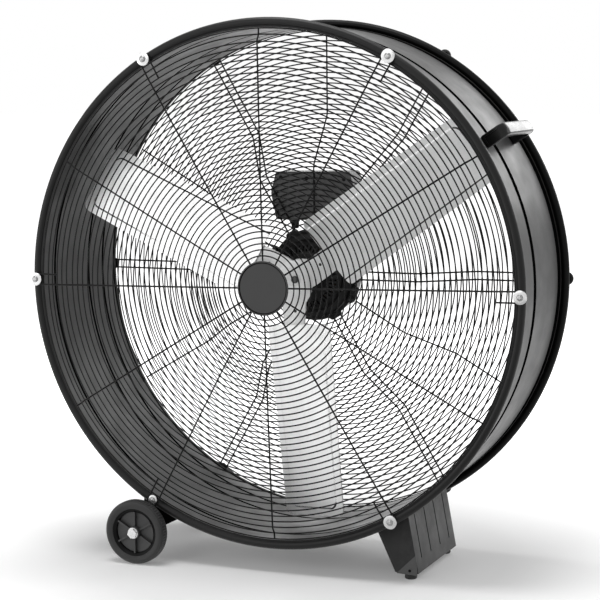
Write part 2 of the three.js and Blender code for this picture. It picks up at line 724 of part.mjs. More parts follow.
function speedKnob() {
  const base = LID_THICK + FIT;
  const grip = turned([
    [0, -5], [KNOB.stemR, -5], [KNOB.stemR, base], [KNOB.r, base], [KNOB.r, base + 4],
    [KNOB.r - 3, base + 5], [KNOB.r - 4, base + KNOB.length], [0, base + KNOB.length],
  ], SMALL_SEGS);
  const pointer = new THREE.BoxGeometry(3, KNOB.length - 5, KNOB.r - 2);
  pointer.translate(0, base + 5 + (KNOB.length - 5) / 2, (KNOB.r - 2) / 2);
  return geometryOf(join([grip, pointer]));
}

function runCapacitor() {
  const can = new THREE.CylinderGeometry(CAPACITOR.r, CAPACITOR.r, CAPACITOR.length, SEGS / 3);
  return can.translate(CAPACITOR.x, lidY - FIT - CAPACITOR.length / 2, CAPACITOR.z);
}

function cordGland() {
  const top = boxBottom - FIT;
  const body = turned([
    [0, top], [GLAND.r, top], [GLAND.r, top - 5], [GLAND.r - 1.5, top - 6],
    [GLAND.r - 1.5, top - GLAND.length + 2], [GLAND.r - 3, top - GLAND.length], [0, top - GLAND.length],
  ], SEGS / 3);
  const bore = new THREE.CylinderGeometry(GLAND.bore, GLAND.bore, GLAND.length, 12);
  bore.translate(0, top - GLAND.length, 0);
  const gland = geometryOf(cut(solid(body), [bore])).rotateX(Math.PI / 2);
  return gland.translate(GLAND.x, boxY + BOX_DEPTH / 2, 0);
}

function motorConduit() {
  const low = MOTOR_R + FIT;
  const high = boxBottom - FIT;
  const tube = new THREE.CylinderGeometry(CONDUIT_R, CONDUIT_R, high - low, SEGS / 3);
  return tube.rotateX(Math.PI / 2).translate(0, boxY + BOX_DEPTH / 3, (high + low) / 2);
}

add('control_box', controlBox(), plastic, inAxis);
add('control_lid', controlLid(), plastic, inAxis);
add('switch_body', switchBody(), plastic, inAxis);
add('run_capacitor', runCapacitor(), castMetal, inAxis);
add('cord_gland', cordGland(), blackPaint, inAxis);
add('motor_conduit', motorConduit(), rubber, inAxis);
add('speed_knob', speedKnob(), blackPaint, inAxis).position.set(KNOB.x, lidY, KNOB.z);

// ---------------------------------------------------------------- handle
// What stands on the drum is cut back to the drum's outside and a seating gap.
function clearOfDrum(geometry) {
  const drum = turned([
    [0, -rimY], [DRUM_R + FIT, -rimY], [DRUM_R + FIT, rimY], [0, rimY],
  ], SEGS);
  return geometryOf(cut(solid(geometry), [drum]));
}

function handle() {
  const low = DRUM_R - 4;
  const high = DRUM_R + HANDLE_RISE;
  const under = high - HANDLE_GRIP; // the grip's face over the fingers
  const inner = HANDLE_CORNER * 0.55;
  const bow = new THREE.Shape();
  bow.moveTo(low, HANDLE_FRONT);
  bow.lineTo(high - HANDLE_CORNER, HANDLE_FRONT);
  bow.quadraticCurveTo(high, HANDLE_FRONT, high, HANDLE_FRONT + HANDLE_CORNER);
  bow.lineTo(high, HANDLE_REAR - HANDLE_CORNER);
  bow.quadraticCurveTo(high, HANDLE_REAR, high - HANDLE_CORNER, HANDLE_REAR);
  bow.lineTo(low, HANDLE_REAR);
  bow.lineTo(low, HANDLE_REAR - HANDLE_LEG);
  bow.lineTo(under - inner, HANDLE_REAR - HANDLE_LEG);
  bow.quadraticCurveTo(under, HANDLE_REAR - HANDLE_LEG, under, HANDLE_REAR - HANDLE_LEG - inner);
  bow.lineTo(under, HANDLE_FRONT + HANDLE_LEG + inner);
  bow.quadraticCurveTo(under, HANDLE_FRONT + HANDLE_LEG, under - inner, HANDLE_FRONT + HANDLE_LEG);
  bow.lineTo(low, HANDLE_FRONT + HANDLE_LEG);
  const geometry = new THREE.ExtrudeGeometry(bow, {
    depth: HANDLE_WIDTH - 2 * HANDLE_BEVEL,
    curveSegments: 4,
    bevelThickness: HANDLE_BEVEL,
    bevelSize: HANDLE_BEVEL,
    bevelOffset: -HANDLE_BEVEL,
    bevelSegments: 2,
  });
  return swung(geometry.translate(0, 0, HANDLE_BEVEL - HANDLE_WIDTH / 2), HANDLE_TURN);
}
add('carry_handle', clearOfDrum(handle()), plastic, inAxis);

// ---------------------------------------------------------------- wheels and axle
const wheelFromAxis = DRUM_R + AXLE_OUT;
const wheelInnerY = rimY + WHEEL_CLEAR;
const wheelX = -Math.sqrt(wheelFromAxis ** 2 - (AXIS_Z - WHEEL_R) ** 2); // with the tyres on the floor
const wheelTurn = Math.atan2(WHEEL_R - AXIS_Z, wheelX);
const wheelFaceY = wheelInnerY + WHEEL_WIDTH;

// The tyre, from y = 0 at its inner face.
function tyre() {
  const steps = 3;
  const shoulder = (y, from) => Array.from({ length: steps + 1 }, (_, i) => {
    const a = from + Math.PI / 2 * i / steps;
    return [WHEEL_R - TYRE_SHOULDER + TYRE_SHOULDER * Math.cos(a), y + TYRE_SHOULDER * Math.sin(a)];
  });
  return ring([
    ...shoulder(TYRE_SHOULDER, -Math.PI / 2), ...shoulder(WHEEL_WIDTH - TYRE_SHOULDER, 0),
    [TYRE_SEAT_R + FIT, WHEEL_WIDTH - 1], [TYRE_SEAT_R + FIT, 1],
  ], SMALL_SEGS);
}

function wheelHub() {
  const bore = AXLE_R + AXLE_RUN;
  const rimInside = TYRE_SEAT_R - HUB_RIM;
  const web = (WHEEL_WIDTH - HUB_WEB) / 2;
  const body = solid(ring([
    [bore, 0], [HUB_BOSS_R, 0], [HUB_BOSS_R, web], [rimInside, web], [rimInside, 2], [TYRE_SEAT_R, 2],
    [TYRE_SEAT_R, WHEEL_WIDTH - 2], [rimInside, WHEEL_WIDTH - 2], [rimInside, web + HUB_WEB],
    [HUB_BOSS_R, web + HUB_WEB], [HUB_BOSS_R, WHEEL_WIDTH], [bore, WHEEL_WIDTH],
  ], SMALL_SEGS));
  const ribs = Array.from({ length: HUB_RIBS }, (_, i) => {
    const length = rimInside + 2 - bore - 2;
    const rib = new THREE.BoxGeometry(length, WHEEL_WIDTH - 8, HUB_RIB);
    return swung(rib.translate(bore + 2 + length / 2, WHEEL_WIDTH / 2, 0), (i + 0.5) * TURN / HUB_RIBS);
  });
  return geometryOf(ribs.map(solid).reduce((whole, rib) => whole.add(rib), body));
}

function wheelBracket() {
  const low = wheelFromAxis;
  const shape = new THREE.Shape();
  shape.moveTo(DRUM_R - 6, -GUSSET_LEFT);
  shape.lineTo(low - GUSSET_EYE_R / 2, -GUSSET_EYE_R);
  shape.absarc(low, 0, GUSSET_EYE_R, -Math.PI / 2, Math.PI / 2);
  shape.lineTo(DRUM_R + 24, GUSSET_RIGHT - 18);
  shape.lineTo(DRUM_R - 6, GUSSET_RIGHT);
  const eye = new THREE.Path();
  eye.absarc(low, 0, AXLE_R + FIT, 0, TURN, true);
  shape.holes.push(eye);
  return swung(plate(shape, 0, GUSSET_THICK), wheelTurn);
}

function axleBolt() {
  const washer = turned([
    [0, 0], [AXLE_WASHER_R, 0], [AXLE_WASHER_R, AXLE_WASHER], [0, AXLE_WASHER],
  ], SEGS / 3);
  const head = new THREE.CylinderGeometry(AXLE_HEAD_R - 1, AXLE_HEAD_R, AXLE_HEAD, 6);
  head.translate(0, AXLE_WASHER + AXLE_HEAD / 2 - 0.2, 0);
  return geometryOf(join([washer, head]));
}

for (const [side, sign] of [['front', -1], ['rear', 1]]) {
  const wheel = new THREE.Group();
  wheel.position.set(wheelX, sign * wheelInnerY, WHEEL_R);
  if (sign < 0) wheel.rotation.x = Math.PI;
  fan.add(wheel);
  add(`${side}_tyre`, tyre(), rubber, wheel);
  add(`${side}_wheel_hub`, wheelHub(), plastic, wheel);
  add(`${side}_axle_bolt`, axleBolt(), zinc, wheel).position.y = WHEEL_WIDTH + FIT;
  const outer = sign * GUSSET_FACE_Y;
  const bracket = wheelBracket().translate(0, sign < 0 ? outer : outer - GUSSET_THICK, 0);
  add(`${side}_wheel_bracket`, clearOfDrum(bracket), blackPaint, inAxis);
}
const axle = new THREE.CylinderGeometry(AXLE_R, AXLE_R, 2 * wheelFaceY, SMALL_SEGS);
add('wheel_axle', axle, zinc).position.set(wheelX, 0, WHEEL_R);

// ---------------------------------------------------------------- foot
const footTop = Math.ceil(AXIS_Z - Math.sqrt(DRUM_R ** 2 - FOOT_OUT ** 2)); // before the drum's curve is cut

// The foot's outline across the drum, drawn in by a wall's thickness.
function footOutline(wall) {
  const low = FOOT_BOTTOM_Z + wall;
  const rise = footTop - low;
  const inFoot = FOOT_IN + wall;
  const outFoot = FOOT_OUT - wall;
  return [
    [inFoot - FOOT_LEAN_IN * wall, low], [outFoot - FOOT_LEAN_OUT * wall, low],
    [outFoot - FOOT_LEAN_OUT * (rise + wall), footTop], [inFoot - FOOT_LEAN_IN * (rise + wall), footTop],
  ].map(([x, z]) => [x, z - AXIS_Z]);
}

function foot() {
  const blank = solid(plate(footOutline(0), FOOT_FRONT, FOOT_REAR));
  const hollow = plate(footOutline(FOOT_WALL), FOOT_FRONT + FOOT_WALL, FOOT_REAR - FOOT_WALL);
  const pitch = (FOOT_REAR - FOOT_FRONT) / (FOOT_GROOVES + 1);
  const grooves = Array.from({ length: FOOT_GROOVES }, (_, i) => {
    const tool = new THREE.BoxGeometry(2 * FOOT_GROOVE_DEPTH, FOOT_GROOVE_WIDTH, footTop);
    tool.rotateY(-Math.atan(FOOT_LEAN_OUT));
    const height = footTop / 2 + 2 * FOOT_BOTTOM_Z;
    const face = FOOT_OUT - FOOT_LEAN_OUT * (height - FOOT_BOTTOM_Z);
    return tool.translate(face, FOOT_FRONT + pitch * (i + 1), height - AXIS_Z);
  });
  return geometryOf(cut(blank, [hollow, ...grooves]));
}

const pad = () => turned([
  [0, 0], [PAD_R - 1.5, 0], [PAD_R, 2], [PAD_R - 1, FOOT_BOTTOM_Z - FIT], [0, FOOT_BOTTOM_Z - FIT],
], SEGS / 3).rotateX(Math.PI / 2);

add('foot_bracket', clearOfDrum(foot()), darkPaint, inAxis);
for (const [side, y] of [['front', FOOT_FRONT + PAD_INSET], ['rear', FOOT_REAR - PAD_INSET]]) {
  add(`${side}_foot_pad`, pad(), rubber).position.set(PAD_X, y, 0);
}

export default fan;
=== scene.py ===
"""Looks of the drum fan.

Forms are written in millimetres from the fan's axis, at the middle of the drum. Their sizes repeat
those of part.mjs, whose nodes they stand for. The camera, lamps and floor are in metres.
"""
import math
from math import cos, radians, sin

import bmesh
import bpy
from mathutils import Matrix, Vector

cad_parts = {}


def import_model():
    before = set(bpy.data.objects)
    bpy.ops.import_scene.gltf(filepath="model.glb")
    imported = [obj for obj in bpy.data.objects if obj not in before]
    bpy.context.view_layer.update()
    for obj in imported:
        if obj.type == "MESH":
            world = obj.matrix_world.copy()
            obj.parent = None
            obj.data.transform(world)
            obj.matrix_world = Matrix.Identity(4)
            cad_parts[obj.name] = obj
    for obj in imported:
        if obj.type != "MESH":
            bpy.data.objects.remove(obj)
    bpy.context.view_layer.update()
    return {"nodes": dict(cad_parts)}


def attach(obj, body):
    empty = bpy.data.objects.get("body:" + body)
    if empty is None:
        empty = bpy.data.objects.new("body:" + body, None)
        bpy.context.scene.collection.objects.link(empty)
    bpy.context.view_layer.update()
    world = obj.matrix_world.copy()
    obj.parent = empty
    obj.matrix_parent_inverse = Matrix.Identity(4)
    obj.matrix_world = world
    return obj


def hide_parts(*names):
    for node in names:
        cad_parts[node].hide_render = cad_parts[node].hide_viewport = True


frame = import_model()

MM = 0.001
TURN = 2 * math.pi
AXIS_Z = 533
ON_AXIS = Matrix.Translation((0, 0, AXIS_Z))
ON_FLOOR = Matrix.Identity(4)

# drum and rims
DRUM_R = 472.8
DRUM_INSIDE = 469.8
RIM_Y = 144.6
ROLL_R = 8
ROLL_OUT = 7.2  # from the sheet out to the middle of a roll
SHEET_END = 140.8
ROUND = 192  # facets round the drum
SEAT_GAP = 0.3  # between a piece and the seat that holds it
SEAT = DRUM_R + SEAT_GAP  # radius at which pieces sit on the drum
GROOVE_Y = -34  # middle of the groove round the outside
GROOVE_HALF = 6.2
GROOVE_DEPTH = 2.4
SHADE_Y = -45  # where the strip beside the groove, painted with shade, begins
RIM_REFLECTION_BAND = (116, 137)  # the band before the rear rim, painted dark as the rim's reflection and shade
BEADS = (-100, 33, 91)  # middles of the grooves seen inside
BEAD_HALF = 3.6
BEAD_DEPTH = 1.8

# grilles
SPOKES = 12
CLIPS = 6
RING_HALF = 1.3  # half of a ring wire, with its paint
RING_SIDES = 6
SPOKE_WIRE = 3
PAINT = 0.2  # what its paint adds to a spoke's diameter
CROSSING = 2.025  # between the middles of welded wires
ON_RIM_Y = 9.8  # a wire's middle, in front of the rim's middle
OUTER_RING_R = 468.3
SHOULDER_R = 446
FRONT_CROWN = 15.6
FRONT_EDGE = 9.4
TUCK_R = 457.2  # first ring behind the shoulder
TUCK_Y = 1.9
SPOKE_TURN = radians(1.2)
CLIP_R = 480
DISH_R = 211.2
DISH_TOP_R = 304.8
REAR_FLAT_Y = RIM_Y + ON_RIM_Y
DISH_DEPTH = 72
DISH_Y = REAR_FLAT_Y - DISH_DEPTH
REAR_INNER_R = 98.9
ROD_END_R = 88
ROD_HALF = 7.65  # half of what lies between the middles of paired rods

# fan rotor
BLADE_TURN = radians(34.8)
PITCH = radians(15)
BLADE_Y = -23.5
BLADE_ROOT = 84
BLADE_TIP = 450
BLADE_THICK = 2.4
BLADE_SHIFT = 3.4  # of a blade's middle line, to one side of its radius
ROOT_HALF = 74  # half of a blade's width at its root
BLADE_TAPER = 6.5  # how much less that is at its tip
ROOT_CORNER = 10
TIP_CORNER = 14
CREASE_IN = 13.5  # from a blade's edge in to the crease round its panel
CREASE_WIDTH = 3.0
CREASE_RISE = 2.2
CREASE_CORNER = 15
SPIDER_Y = -19.36  # middle of an arm where it lies behind its blade
HUB_Y = -12.8  # middle of the spider's flat hub
ARM_SHIFT = -7.5  # of an arm's middle line, to one side of its radius
ARM_HALF = 2.5  # half of an arm's thickness
ARM_RIVETS = ((104, -21), (104, 6), (150, -21), (150, 6))

# motor
MOTOR_FACE_Y = 37.9
FLANGE_Y = 76.58
HOUSING_Y = 80.88
REAR_BELL_Y = 119.18
MOTOR_R = 83
MOTOR_INSIDE = 77
EAR_TURN = radians(-23)  # bolted ears on the motor's ring

# control box
BOX_Y = 84.2
BOX_DEPTH = 55
BOX_WALL = 5.5
LID_Y = 139.5
BOX_OUTLINE = [(-81, 197), (73, 199), (79, 175), (81, 144), (75, 104), (-81, 104), (-92, 156)]
KNOB = (34, 152)
GLAND_X = -52

# handle, wheels and foot
HANDLE_TURN = radians(33.75)
WHEEL = Vector((-265.1, 0, 61))
WHEEL_INNER_Y = 158.4
WHEEL_R = 61
WHEEL_WIDTH = 28
AXLE_R = 6
AXLE_HALF = 186.4  # half of the axle's length
FRONT_BRACKET_Y = -136.2
REAR_BRACKET_Y = 132.2
BRACKET_THICK = 4
FOOT_BOTTOM = 12.2

# finishes
PATCH_SCALE = 7  # noise of a finish's uneven colour
SHEEN_SCALE = 22  # of its roughness
WEAR_SCALE = 60  # of its worn edges
GRAIN_DEPTH = 0.0006  # in metres
COAT_ROUGH = 0.2

# meshes
WELD = 1e-6  # metres within which corners are one
CUT_ANGLE = 30  # edges steeper than this, in degrees, stay sharp on a carved piece
BEVELLED_CUT_ANGLE = 16  # the same on one with bevels, whose flats have to stay flat
BEVEL_FROM = radians(40)

# studio, in metres
WORLD_LIGHT = 0.28
FLOOR_REACH = 30
FLOOR_COLOUR = (0.8, 0.8, 0.8, 1)
WHITE = (1, 1, 1, 1)
# the floor's glow, from the least at a middle up to white: middle, near, far, least. Its least round the
# fan is painted shadow to the camera and a painted dark patch in reflections
CAMERA_GLOW_PAINTED_SHADOW = ((0, 0, 0), 0.4, 1.5, 0.16)
MIRRORED_PAINTED_PATCH = ((0.6, -1.4, 0), 1.0, 1.7, 0.0)
# name, place, target, size, power
LAMPS = (
    ("top", (-0.3, -0.3, 3.4), (0, 0, 0.5), 2.0, 66),
    ("right_rear", (1.2, 3.0, 1.9), (0.3, 0, 0.7), 1.9, 42),
    ("left_rear", (-1.0, 3.0, 0.9), (0, 0, 0.2), 1.5, 12),
    ("right", (3.0, 0.8, 2.0), (0.2, 0, 0.4), 1.2, 13),
    ("front_left", (-1.3, -3.8, 2.1), (-0.3, 0, 0.6), 2.0, 21),
    ("left", (-3.0, -2.4, 0.9), (0, 0, 0.4), 2.0, 20),
)


# ---------------------------------------------------------------- forms
class Form:
    """Corners and faces, gathered before they become a mesh."""

    def __init__(self, corners=(), faces=()):
        self.corners = [Vector(c) for c in corners]
        self.faces = [tuple(f) for f in faces]

    def add(self, other):
        first = len(self.corners)
        self.corners += other.corners
        self.faces += [tuple(first + i for i in f) for f in other.faces]
        return self

    def at(self, matrix):
        return Form([matrix @ c for c in self.corners], self.faces)


def joined(forms):
    whole = Form()
    for form in forms:
        whole.add(form)
    return whole


def polar(r, y, turn):
    return Vector((r * cos(turn), y, r * sin(turn)))


def radius_at(point):
    return math.hypot(point.x, point.z)


def pairs(points):
    return [(p.x, p.y) for p in points]


def swung(turn):
    """Turns +X to an angle round the fan's axis."""
    return Matrix.Rotation(-turn, 4, "Y")


def shifted(x, y, z):
    return Matrix.Translation((x, y, z))


UPRIGHT = Matrix.Rotation(math.pi / 2, 4, "X")  # takes a form turned round Y to one round Z
FLIPPED = Matrix.Rotation(math.pi, 4, "X")  # turns a form to face the other way along Y


def rounded(points, radius, steps=4, loop=True):
    """The line with an arc of about that radius in place of each corner."""
    out = []
    for i, point in enumerate(points):
        here = Vector(point)
        if not loop and i in (0, len(points) - 1):
            out.append(here)
            continue
        before = Vector(points[i - 1]) - here
        after = Vector(points[(i + 1) % len(points)]) - here
        reach = min(radius, 0.48 * before.length, 0.48 * after.length)
        start = here + before.normalized() * reach
        end = here + after.normalized() * reach
        for k in range(steps + 1):
            t = k / steps
            out.append((1 - t) ** 2 * start + 2 * t * (1 - t) * here + t * t * end)
    return out


def turned(outline, segs=64, ring=True, dent=None):
    """An outline of (radius, y) points turned round the Y axis.

    ring joins the outline's last point to its first. dent gives a corner's radius from its radius,
    its y and its number round the axis.
    """
    count = len(outline)
    corners = []
    for i in range(segs):
        turn = TURN * i / segs
        for r, y in outline:
            corners.append(polar(dent(r, y, i) if dent else r, y, turn))
    faces = []
    for i in range(segs):
        a, b = i * count, (i + 1) % segs * count
        for j in range(count if ring else count - 1):
            k = (j + 1) % count
            faces.append((a + j, b + j, b + k, a + k))
    return Form(corners, faces)


def round_section(r, y, half, sides=8):
    return [(r + half * cos(TURN * i / sides), y + half * sin(TURN * i / sides)) for i in range(sides)]


def wire(points, diameter, sides=8):
    """A round wire along a line of points, closed at both ends."""
    line = [Vector(p) for p in points]
    corners, faces = [], []
    normal = None
    for i, point in enumerate(line):
        along = (line[min(i + 1, len(line) - 1)] - line[max(i - 1, 0)]).normalized()
        if normal is None:
            normal = along.orthogonal()
        normal = (normal - along * normal.dot(along)).normalized()
        side = along.cross(normal)
        for k in range(sides):
            a = TURN * k / sides
            corners.append(point + (normal * cos(a) + side * sin(a)) * diameter / 2)
    for i in range(len(line) - 1):
        for k in range(sides):
            m = (k + 1) % sides
            faces.append((i * sides + k, i * sides + m, (i + 1) * sides + m, (i + 1) * sides + k))
    last = (len(line) - 1) * sides
    faces.append(tuple(range(sides - 1, -1, -1)))
    faces.append(tuple(last + k for k in range(sides)))
    return Form(corners, faces)


def prism(outline, low, high):
    """A plate in the X-Z plane between two values of y, from (x, z) points."""
    count = len(outline)
    corners = [(x, y, z) for y in (low, high) for x, z in outline]
    faces = [(i, (i + 1) % count, count + (i + 1) % count, count + i) for i in range(count)]
    faces += [tuple(range(count - 1, -1, -1)), tuple(range(count, 2 * count))]
    return Form(corners, faces)


def slab(corners, rows, columns):
    """A slab from two layers of corners, each of rows by columns."""
    size = rows * columns
    faces = []
    for i in range(rows - 1):
        for j in range(columns - 1):
            a, b = i * columns + j, (i + 1) * columns + j
            faces += [(a, a + 1, b + 1, b), (size + a, size + b, size + b + 1, size + a + 1)]
    edge = [i * columns for i in range(rows)]
    edge += [(rows - 1) * columns + j for j in range(1, columns)]
    edge += [i * columns + columns - 1 for i in range(rows - 2, -1, -1)]
    edge += list(range(columns - 2, 0, -1))
    for k, a in enumerate(edge):
        b = edge[(k + 1) % len(edge)]
        faces.append((a, b, size + b, size + a))
    return Form(corners, faces)


def sheet(rows, thickness, lift):
    """A pressed sheet from rows of (x, z) points. lift gives the middle surface's y at a point."""
    corners = [(x, lift(x, z) + side * thickness / 2, z)
               for side in (-1, 1) for row in rows for x, z in row]
    return slab(corners, len(rows), len(rows[0]))


def block(x, y, z, size):
    """A box with its middle at a point, for cuts and small bosses."""
    w, d, h = (s / 2 for s in size)
    return prism([(x - w, z - h), (x + w, z - h), (x + w, z + h), (x - w, z + h)], y - d, y + d)


def smooth_step(a, b, value):
    t = min(max((value - a) / (b - a), 0), 1)
    return t * t * (3 - 2 * t)


# ---------------------------------------------------------------- materials
def linear(level):
    """Linear value of a grey written as on screen, 0 to 255."""
    c = level / 255
    return c / 12.92 if c <= 0.04045 else ((c + 0.055) / 1.055) ** 2.4


def tint(level, warm=0.0):
    value = linear(level)
    return (value * (1 + warm), value, value * (1 - warm), 1)


def math_node(tree, operation, a, b):
    node = tree.nodes.new("ShaderNodeMath")
    node.operation = operation
    tree.links.new(a, node.inputs[0])
    tree.links.new(b, node.inputs[1])
    return node.outputs[0]


class Nodes:
    """A material's node tree, built by short calls."""

    def __init__(self, name):
        self.material = bpy.data.materials.new(name)
        self.material.use_nodes = True
        self.tree = self.material.node_tree
        self.shader = self.tree.nodes["Principled BSDF"]
        self.place = self.new("ShaderNodeTexCoord").outputs["Object"]

    def new(self, kind, **settings):
        node = self.tree.nodes.new(kind)
        for key, value in settings.items():
            setattr(node, key, value)
        return node

    def link(self, source, target):
        self.tree.links.new(source, target)

    def noise(self, scale, detail=3.0, stretch=(1, 1, 1), rough=0.55):
        mapping = self.new("ShaderNodeMapping")
        mapping.inputs["Scale"].default_value = stretch
        self.link(self.place, mapping.inputs["Vector"])
        noise = self.new("ShaderNodeTexNoise")
        noise.inputs["Scale"].default_value = scale
        noise.inputs["Detail"].default_value = detail
        noise.inputs["Roughness"].default_value = rough
        self.link(mapping.outputs[0], noise.inputs["Vector"])
        return noise.outputs["Fac"]

    def ranged(self, value, low, high, to_low, to_high):
        node = self.new("ShaderNodeMapRange")
        for key, number in zip(("From Min", "From Max", "To Min", "To Max"), (low, high, to_low, to_high)):
            node.inputs[key].default_value = number
        self.link(value, node.inputs["Value"])
        return node.outputs["Result"]

    def mixed(self, factor, a, b):
        """Colours a and b, each a socket or a value, by a factor socket."""
        node = self.new("ShaderNodeMix", data_type="RGBA")
        self.link(factor, node.inputs[0])
        for socket, colour in ((node.inputs[6], a), (node.inputs[7], b)):
            if isinstance(colour, tuple):
                socket.default_value = colour
            else:
                self.link(colour, socket)
        return node.outputs[2]

    def bump(self, height, strength, distance):
        node = self.new("ShaderNodeBump")
        node.inputs["Strength"].default_value = strength
        node.inputs["Distance"].default_value = distance
        self.link(height, node.inputs["Height"])
        return node.outputs["Normal"]


def surface(name, level, rough, metal=0.0, *, spread=0.08, grain=900, stretch=(1, 1, 1), bump=0.12,
            wear=0.0, worn=120, rough_spread=0.06, coat=0.0, specular=0.5, aniso=0.0, warm=0.0):
    """A finish with uneven colour, a fine grain in its bump and roughness, and paler worn edges."""
    n = Nodes(name)
    patches = n.ranged(n.noise(PATCH_SCALE, 4), 0.3, 0.7, 0, 1)
    fine = n.noise(grain, 4, stretch)
    colour = n.mixed(patches, tint(level * (1 - spread), warm), tint(level * (1 + spread), warm))
    specks = n.ranged(fine, 0.35, 0.65, 0, 0.35)
    colour = n.mixed(specks, colour, tint(level * (1 - 1.6 * spread), warm))
    if wear:
        edge = n.ranged(n.new("ShaderNodeNewGeometry").outputs["Pointiness"], 0.53, 0.6, 0, wear)
        chips = n.ranged(n.noise(WEAR_SCALE, 3), 0.42, 0.62, 0, 1)
        edge = math_node(n.tree, "MULTIPLY", edge, chips)
        colour = n.mixed(edge, colour, tint(worn))
    n.link(colour, n.shader.inputs["Base Color"])
    n.link(n.ranged(n.noise(SHEEN_SCALE, 4), 0.3, 0.7, rough - rough_spread, rough + rough_spread),
           n.shader.inputs["Roughness"])
    n.link(n.bump(fine, bump, GRAIN_DEPTH), n.shader.inputs["Normal"])
    n.shader.inputs["Metallic"].default_value = metal
    n.shader.inputs["Specular IOR Level"].default_value = specular
    n.shader.inputs["Coat Weight"].default_value = coat
    n.shader.inputs["Coat Roughness"].default_value = COAT_ROUGH
    n.shader.inputs["Anisotropic"].default_value = aniso
    return n.material


drum_paint = surface("drum_paint_look", 70, 0.42, 0.0, grain=1400, bump=0.05, spread=0.03, specular=0.12)
# the drum's paint made darker for the inside of the sheet: painted shade
shaded_inner_paint = surface("inner_paint_look", 38, 0.45, 0.0, grain=1400, bump=0.05, spread=0.03, specular=0.25)
rim_paint = surface("rim_paint_look", 25, 0.42, 0.0, grain=1300, bump=0.07, wear=0.15, worn=80,
                    specular=0.2)
black_paint = surface("black_paint_look", 12, 0.36, 0.0, grain=1300, bump=0.07, wear=0.1, worn=40,
                      specular=0.08)
# painted shade: near black and without shine, for the grooves, the strip beside the outer one and the band
# before the rear rim
painted_shade = surface("groove_shade_look", 7, 0.9, 0.0, grain=1300, bump=0.05, specular=0.0)
wire_paint = surface("wire_paint_look", 16, 0.45, 0.0, grain=1800, bump=0.05, specular=0.15)
disc_paint = surface("disc_paint_look", 54, 0.5, 0.0, grain=1500, bump=0.08, spread=0.04, specular=0.4)
foot_paint = surface("foot_paint_look", 46, 0.5, 0.0, grain=1500, bump=0.08, wear=0.2, specular=0.2)
# the foot's paint made lighter for the flap's facet: painted light
lit_flap_paint = surface("flap_paint_look", 76, 0.5, 0.0, grain=1500, bump=0.08, specular=0.4)
blade_metal = surface("blade_metal_look", 236, 0.36, 0.85, grain=420, stretch=(0.08, 1, 1), bump=0.05,
                      spread=0.03, rough_spread=0.05, aniso=0.3)
# the blade's metal made brighter and shinier for the creases: a painted highlight
crease_highlight = surface("crease_metal_look", 253, 0.22, 1.0, grain=420, bump=0.04, spread=0.02)
spider_metal = surface("spider_metal_look", 224, 0.45, 0.6, grain=700, bump=0.12, spread=0.05)
shaft_steel = surface("shaft_steel_look", 84, 0.4, 0.8, grain=900, bump=0.1)
motor_paint = surface("motor_paint_look", 26, 0.45, 0.1, grain=900, bump=0.15, wear=0.1, worn=70,
                      specular=0.25)
box_plastic = surface("box_plastic_look", 90, 0.5, 0.0, grain=1800, bump=0.18, spread=0.05)
grip_plastic = surface("grip_plastic_look", 16, 0.3, 0.0, grain=2200, bump=0.08, coat=0.1, specular=0.2)
hub_plastic = surface("hub_plastic_look", 48, 0.5, 0.0, grain=1600, bump=0.12)
tyre_rubber = surface("tyre_rubber_look", 54, 0.62, 0.0, grain=1100, bump=0.2, spread=0.06, specular=0.3)
pad_rubber = surface("pad_rubber_look", 26, 0.7, 0.0, grain=1100, bump=0.2)
zinc = surface("zinc_look", 206, 0.28, 0.9, grain=800, bump=0.08, spread=0.05)
screw_zinc = surface("screw_zinc_look", 150, 0.25, 0.9, grain=800, bump=0.08, spread=0.05)
dark_zinc = surface("dark_zinc_look", 60, 0.4, 0.6, grain=800, bump=0.08)
bearing_steel = surface("bearing_steel_look", 180, 0.25, 0.9, grain=900, bump=0.05)
copper = surface("copper_look", 130, 0.45, 0.7, grain=600, stretch=(1, 0.1, 1), bump=0.3, warm=0.5)
can_metal = surface("can_metal_look", 190, 0.35, 0.8, grain=900, bump=0.06)
switch_plastic = surface("switch_plastic_look", 60, 0.55, grain=1500, bump=0.12)


# ---------------------------------------------------------------- pieces
def mesh_of(name, form, angle):
    mesh = bpy.data.meshes.new(name)
    mesh.from_pydata([c * MM for c in form.corners], [], form.faces)
    bm = bmesh.new()
    bm.from_mesh(mesh)
    bmesh.ops.remove_doubles(bm, verts=bm.verts, dist=WELD)
    bmesh.ops.recalc_face_normals(bm, faces=bm.faces)
    bm.to_mesh(mesh)
    bm.free()
    mesh.shade_smooth()
    mesh.set_sharp_from_angle(angle=radians(angle))
    return mesh


def carve(obj, cuts, angle):
    """Takes each form, in the piece's own millimetres, out of the piece.

    The result becomes its mesh. Edges steeper than angle, in degrees, are sharp on it.
    """
    tool = bpy.data.objects.new("cut", mesh_of("cut", joined(cuts), CUT_ANGLE))
    bpy.context.collection.objects.link(tool)
    tool.matrix_world = obj.matrix_world
    modifier = obj.modifiers.new("cut", "BOOLEAN")
    modifier.operation = "DIFFERENCE"
    modifier.solver = "EXACT"
    modifier.use_self = True
    modifier.object = tool
    bpy.context.view_layer.update()
    shape = obj.evaluated_get(bpy.context.evaluated_depsgraph_get())
    mesh = bpy.data.meshes.new_from_object(shape)
    obj.modifiers.clear()
    obj.data = mesh
    mesh.shade_smooth()
    mesh.set_sharp_from_angle(angle=radians(angle))
    bpy.data.objects.remove(tool)


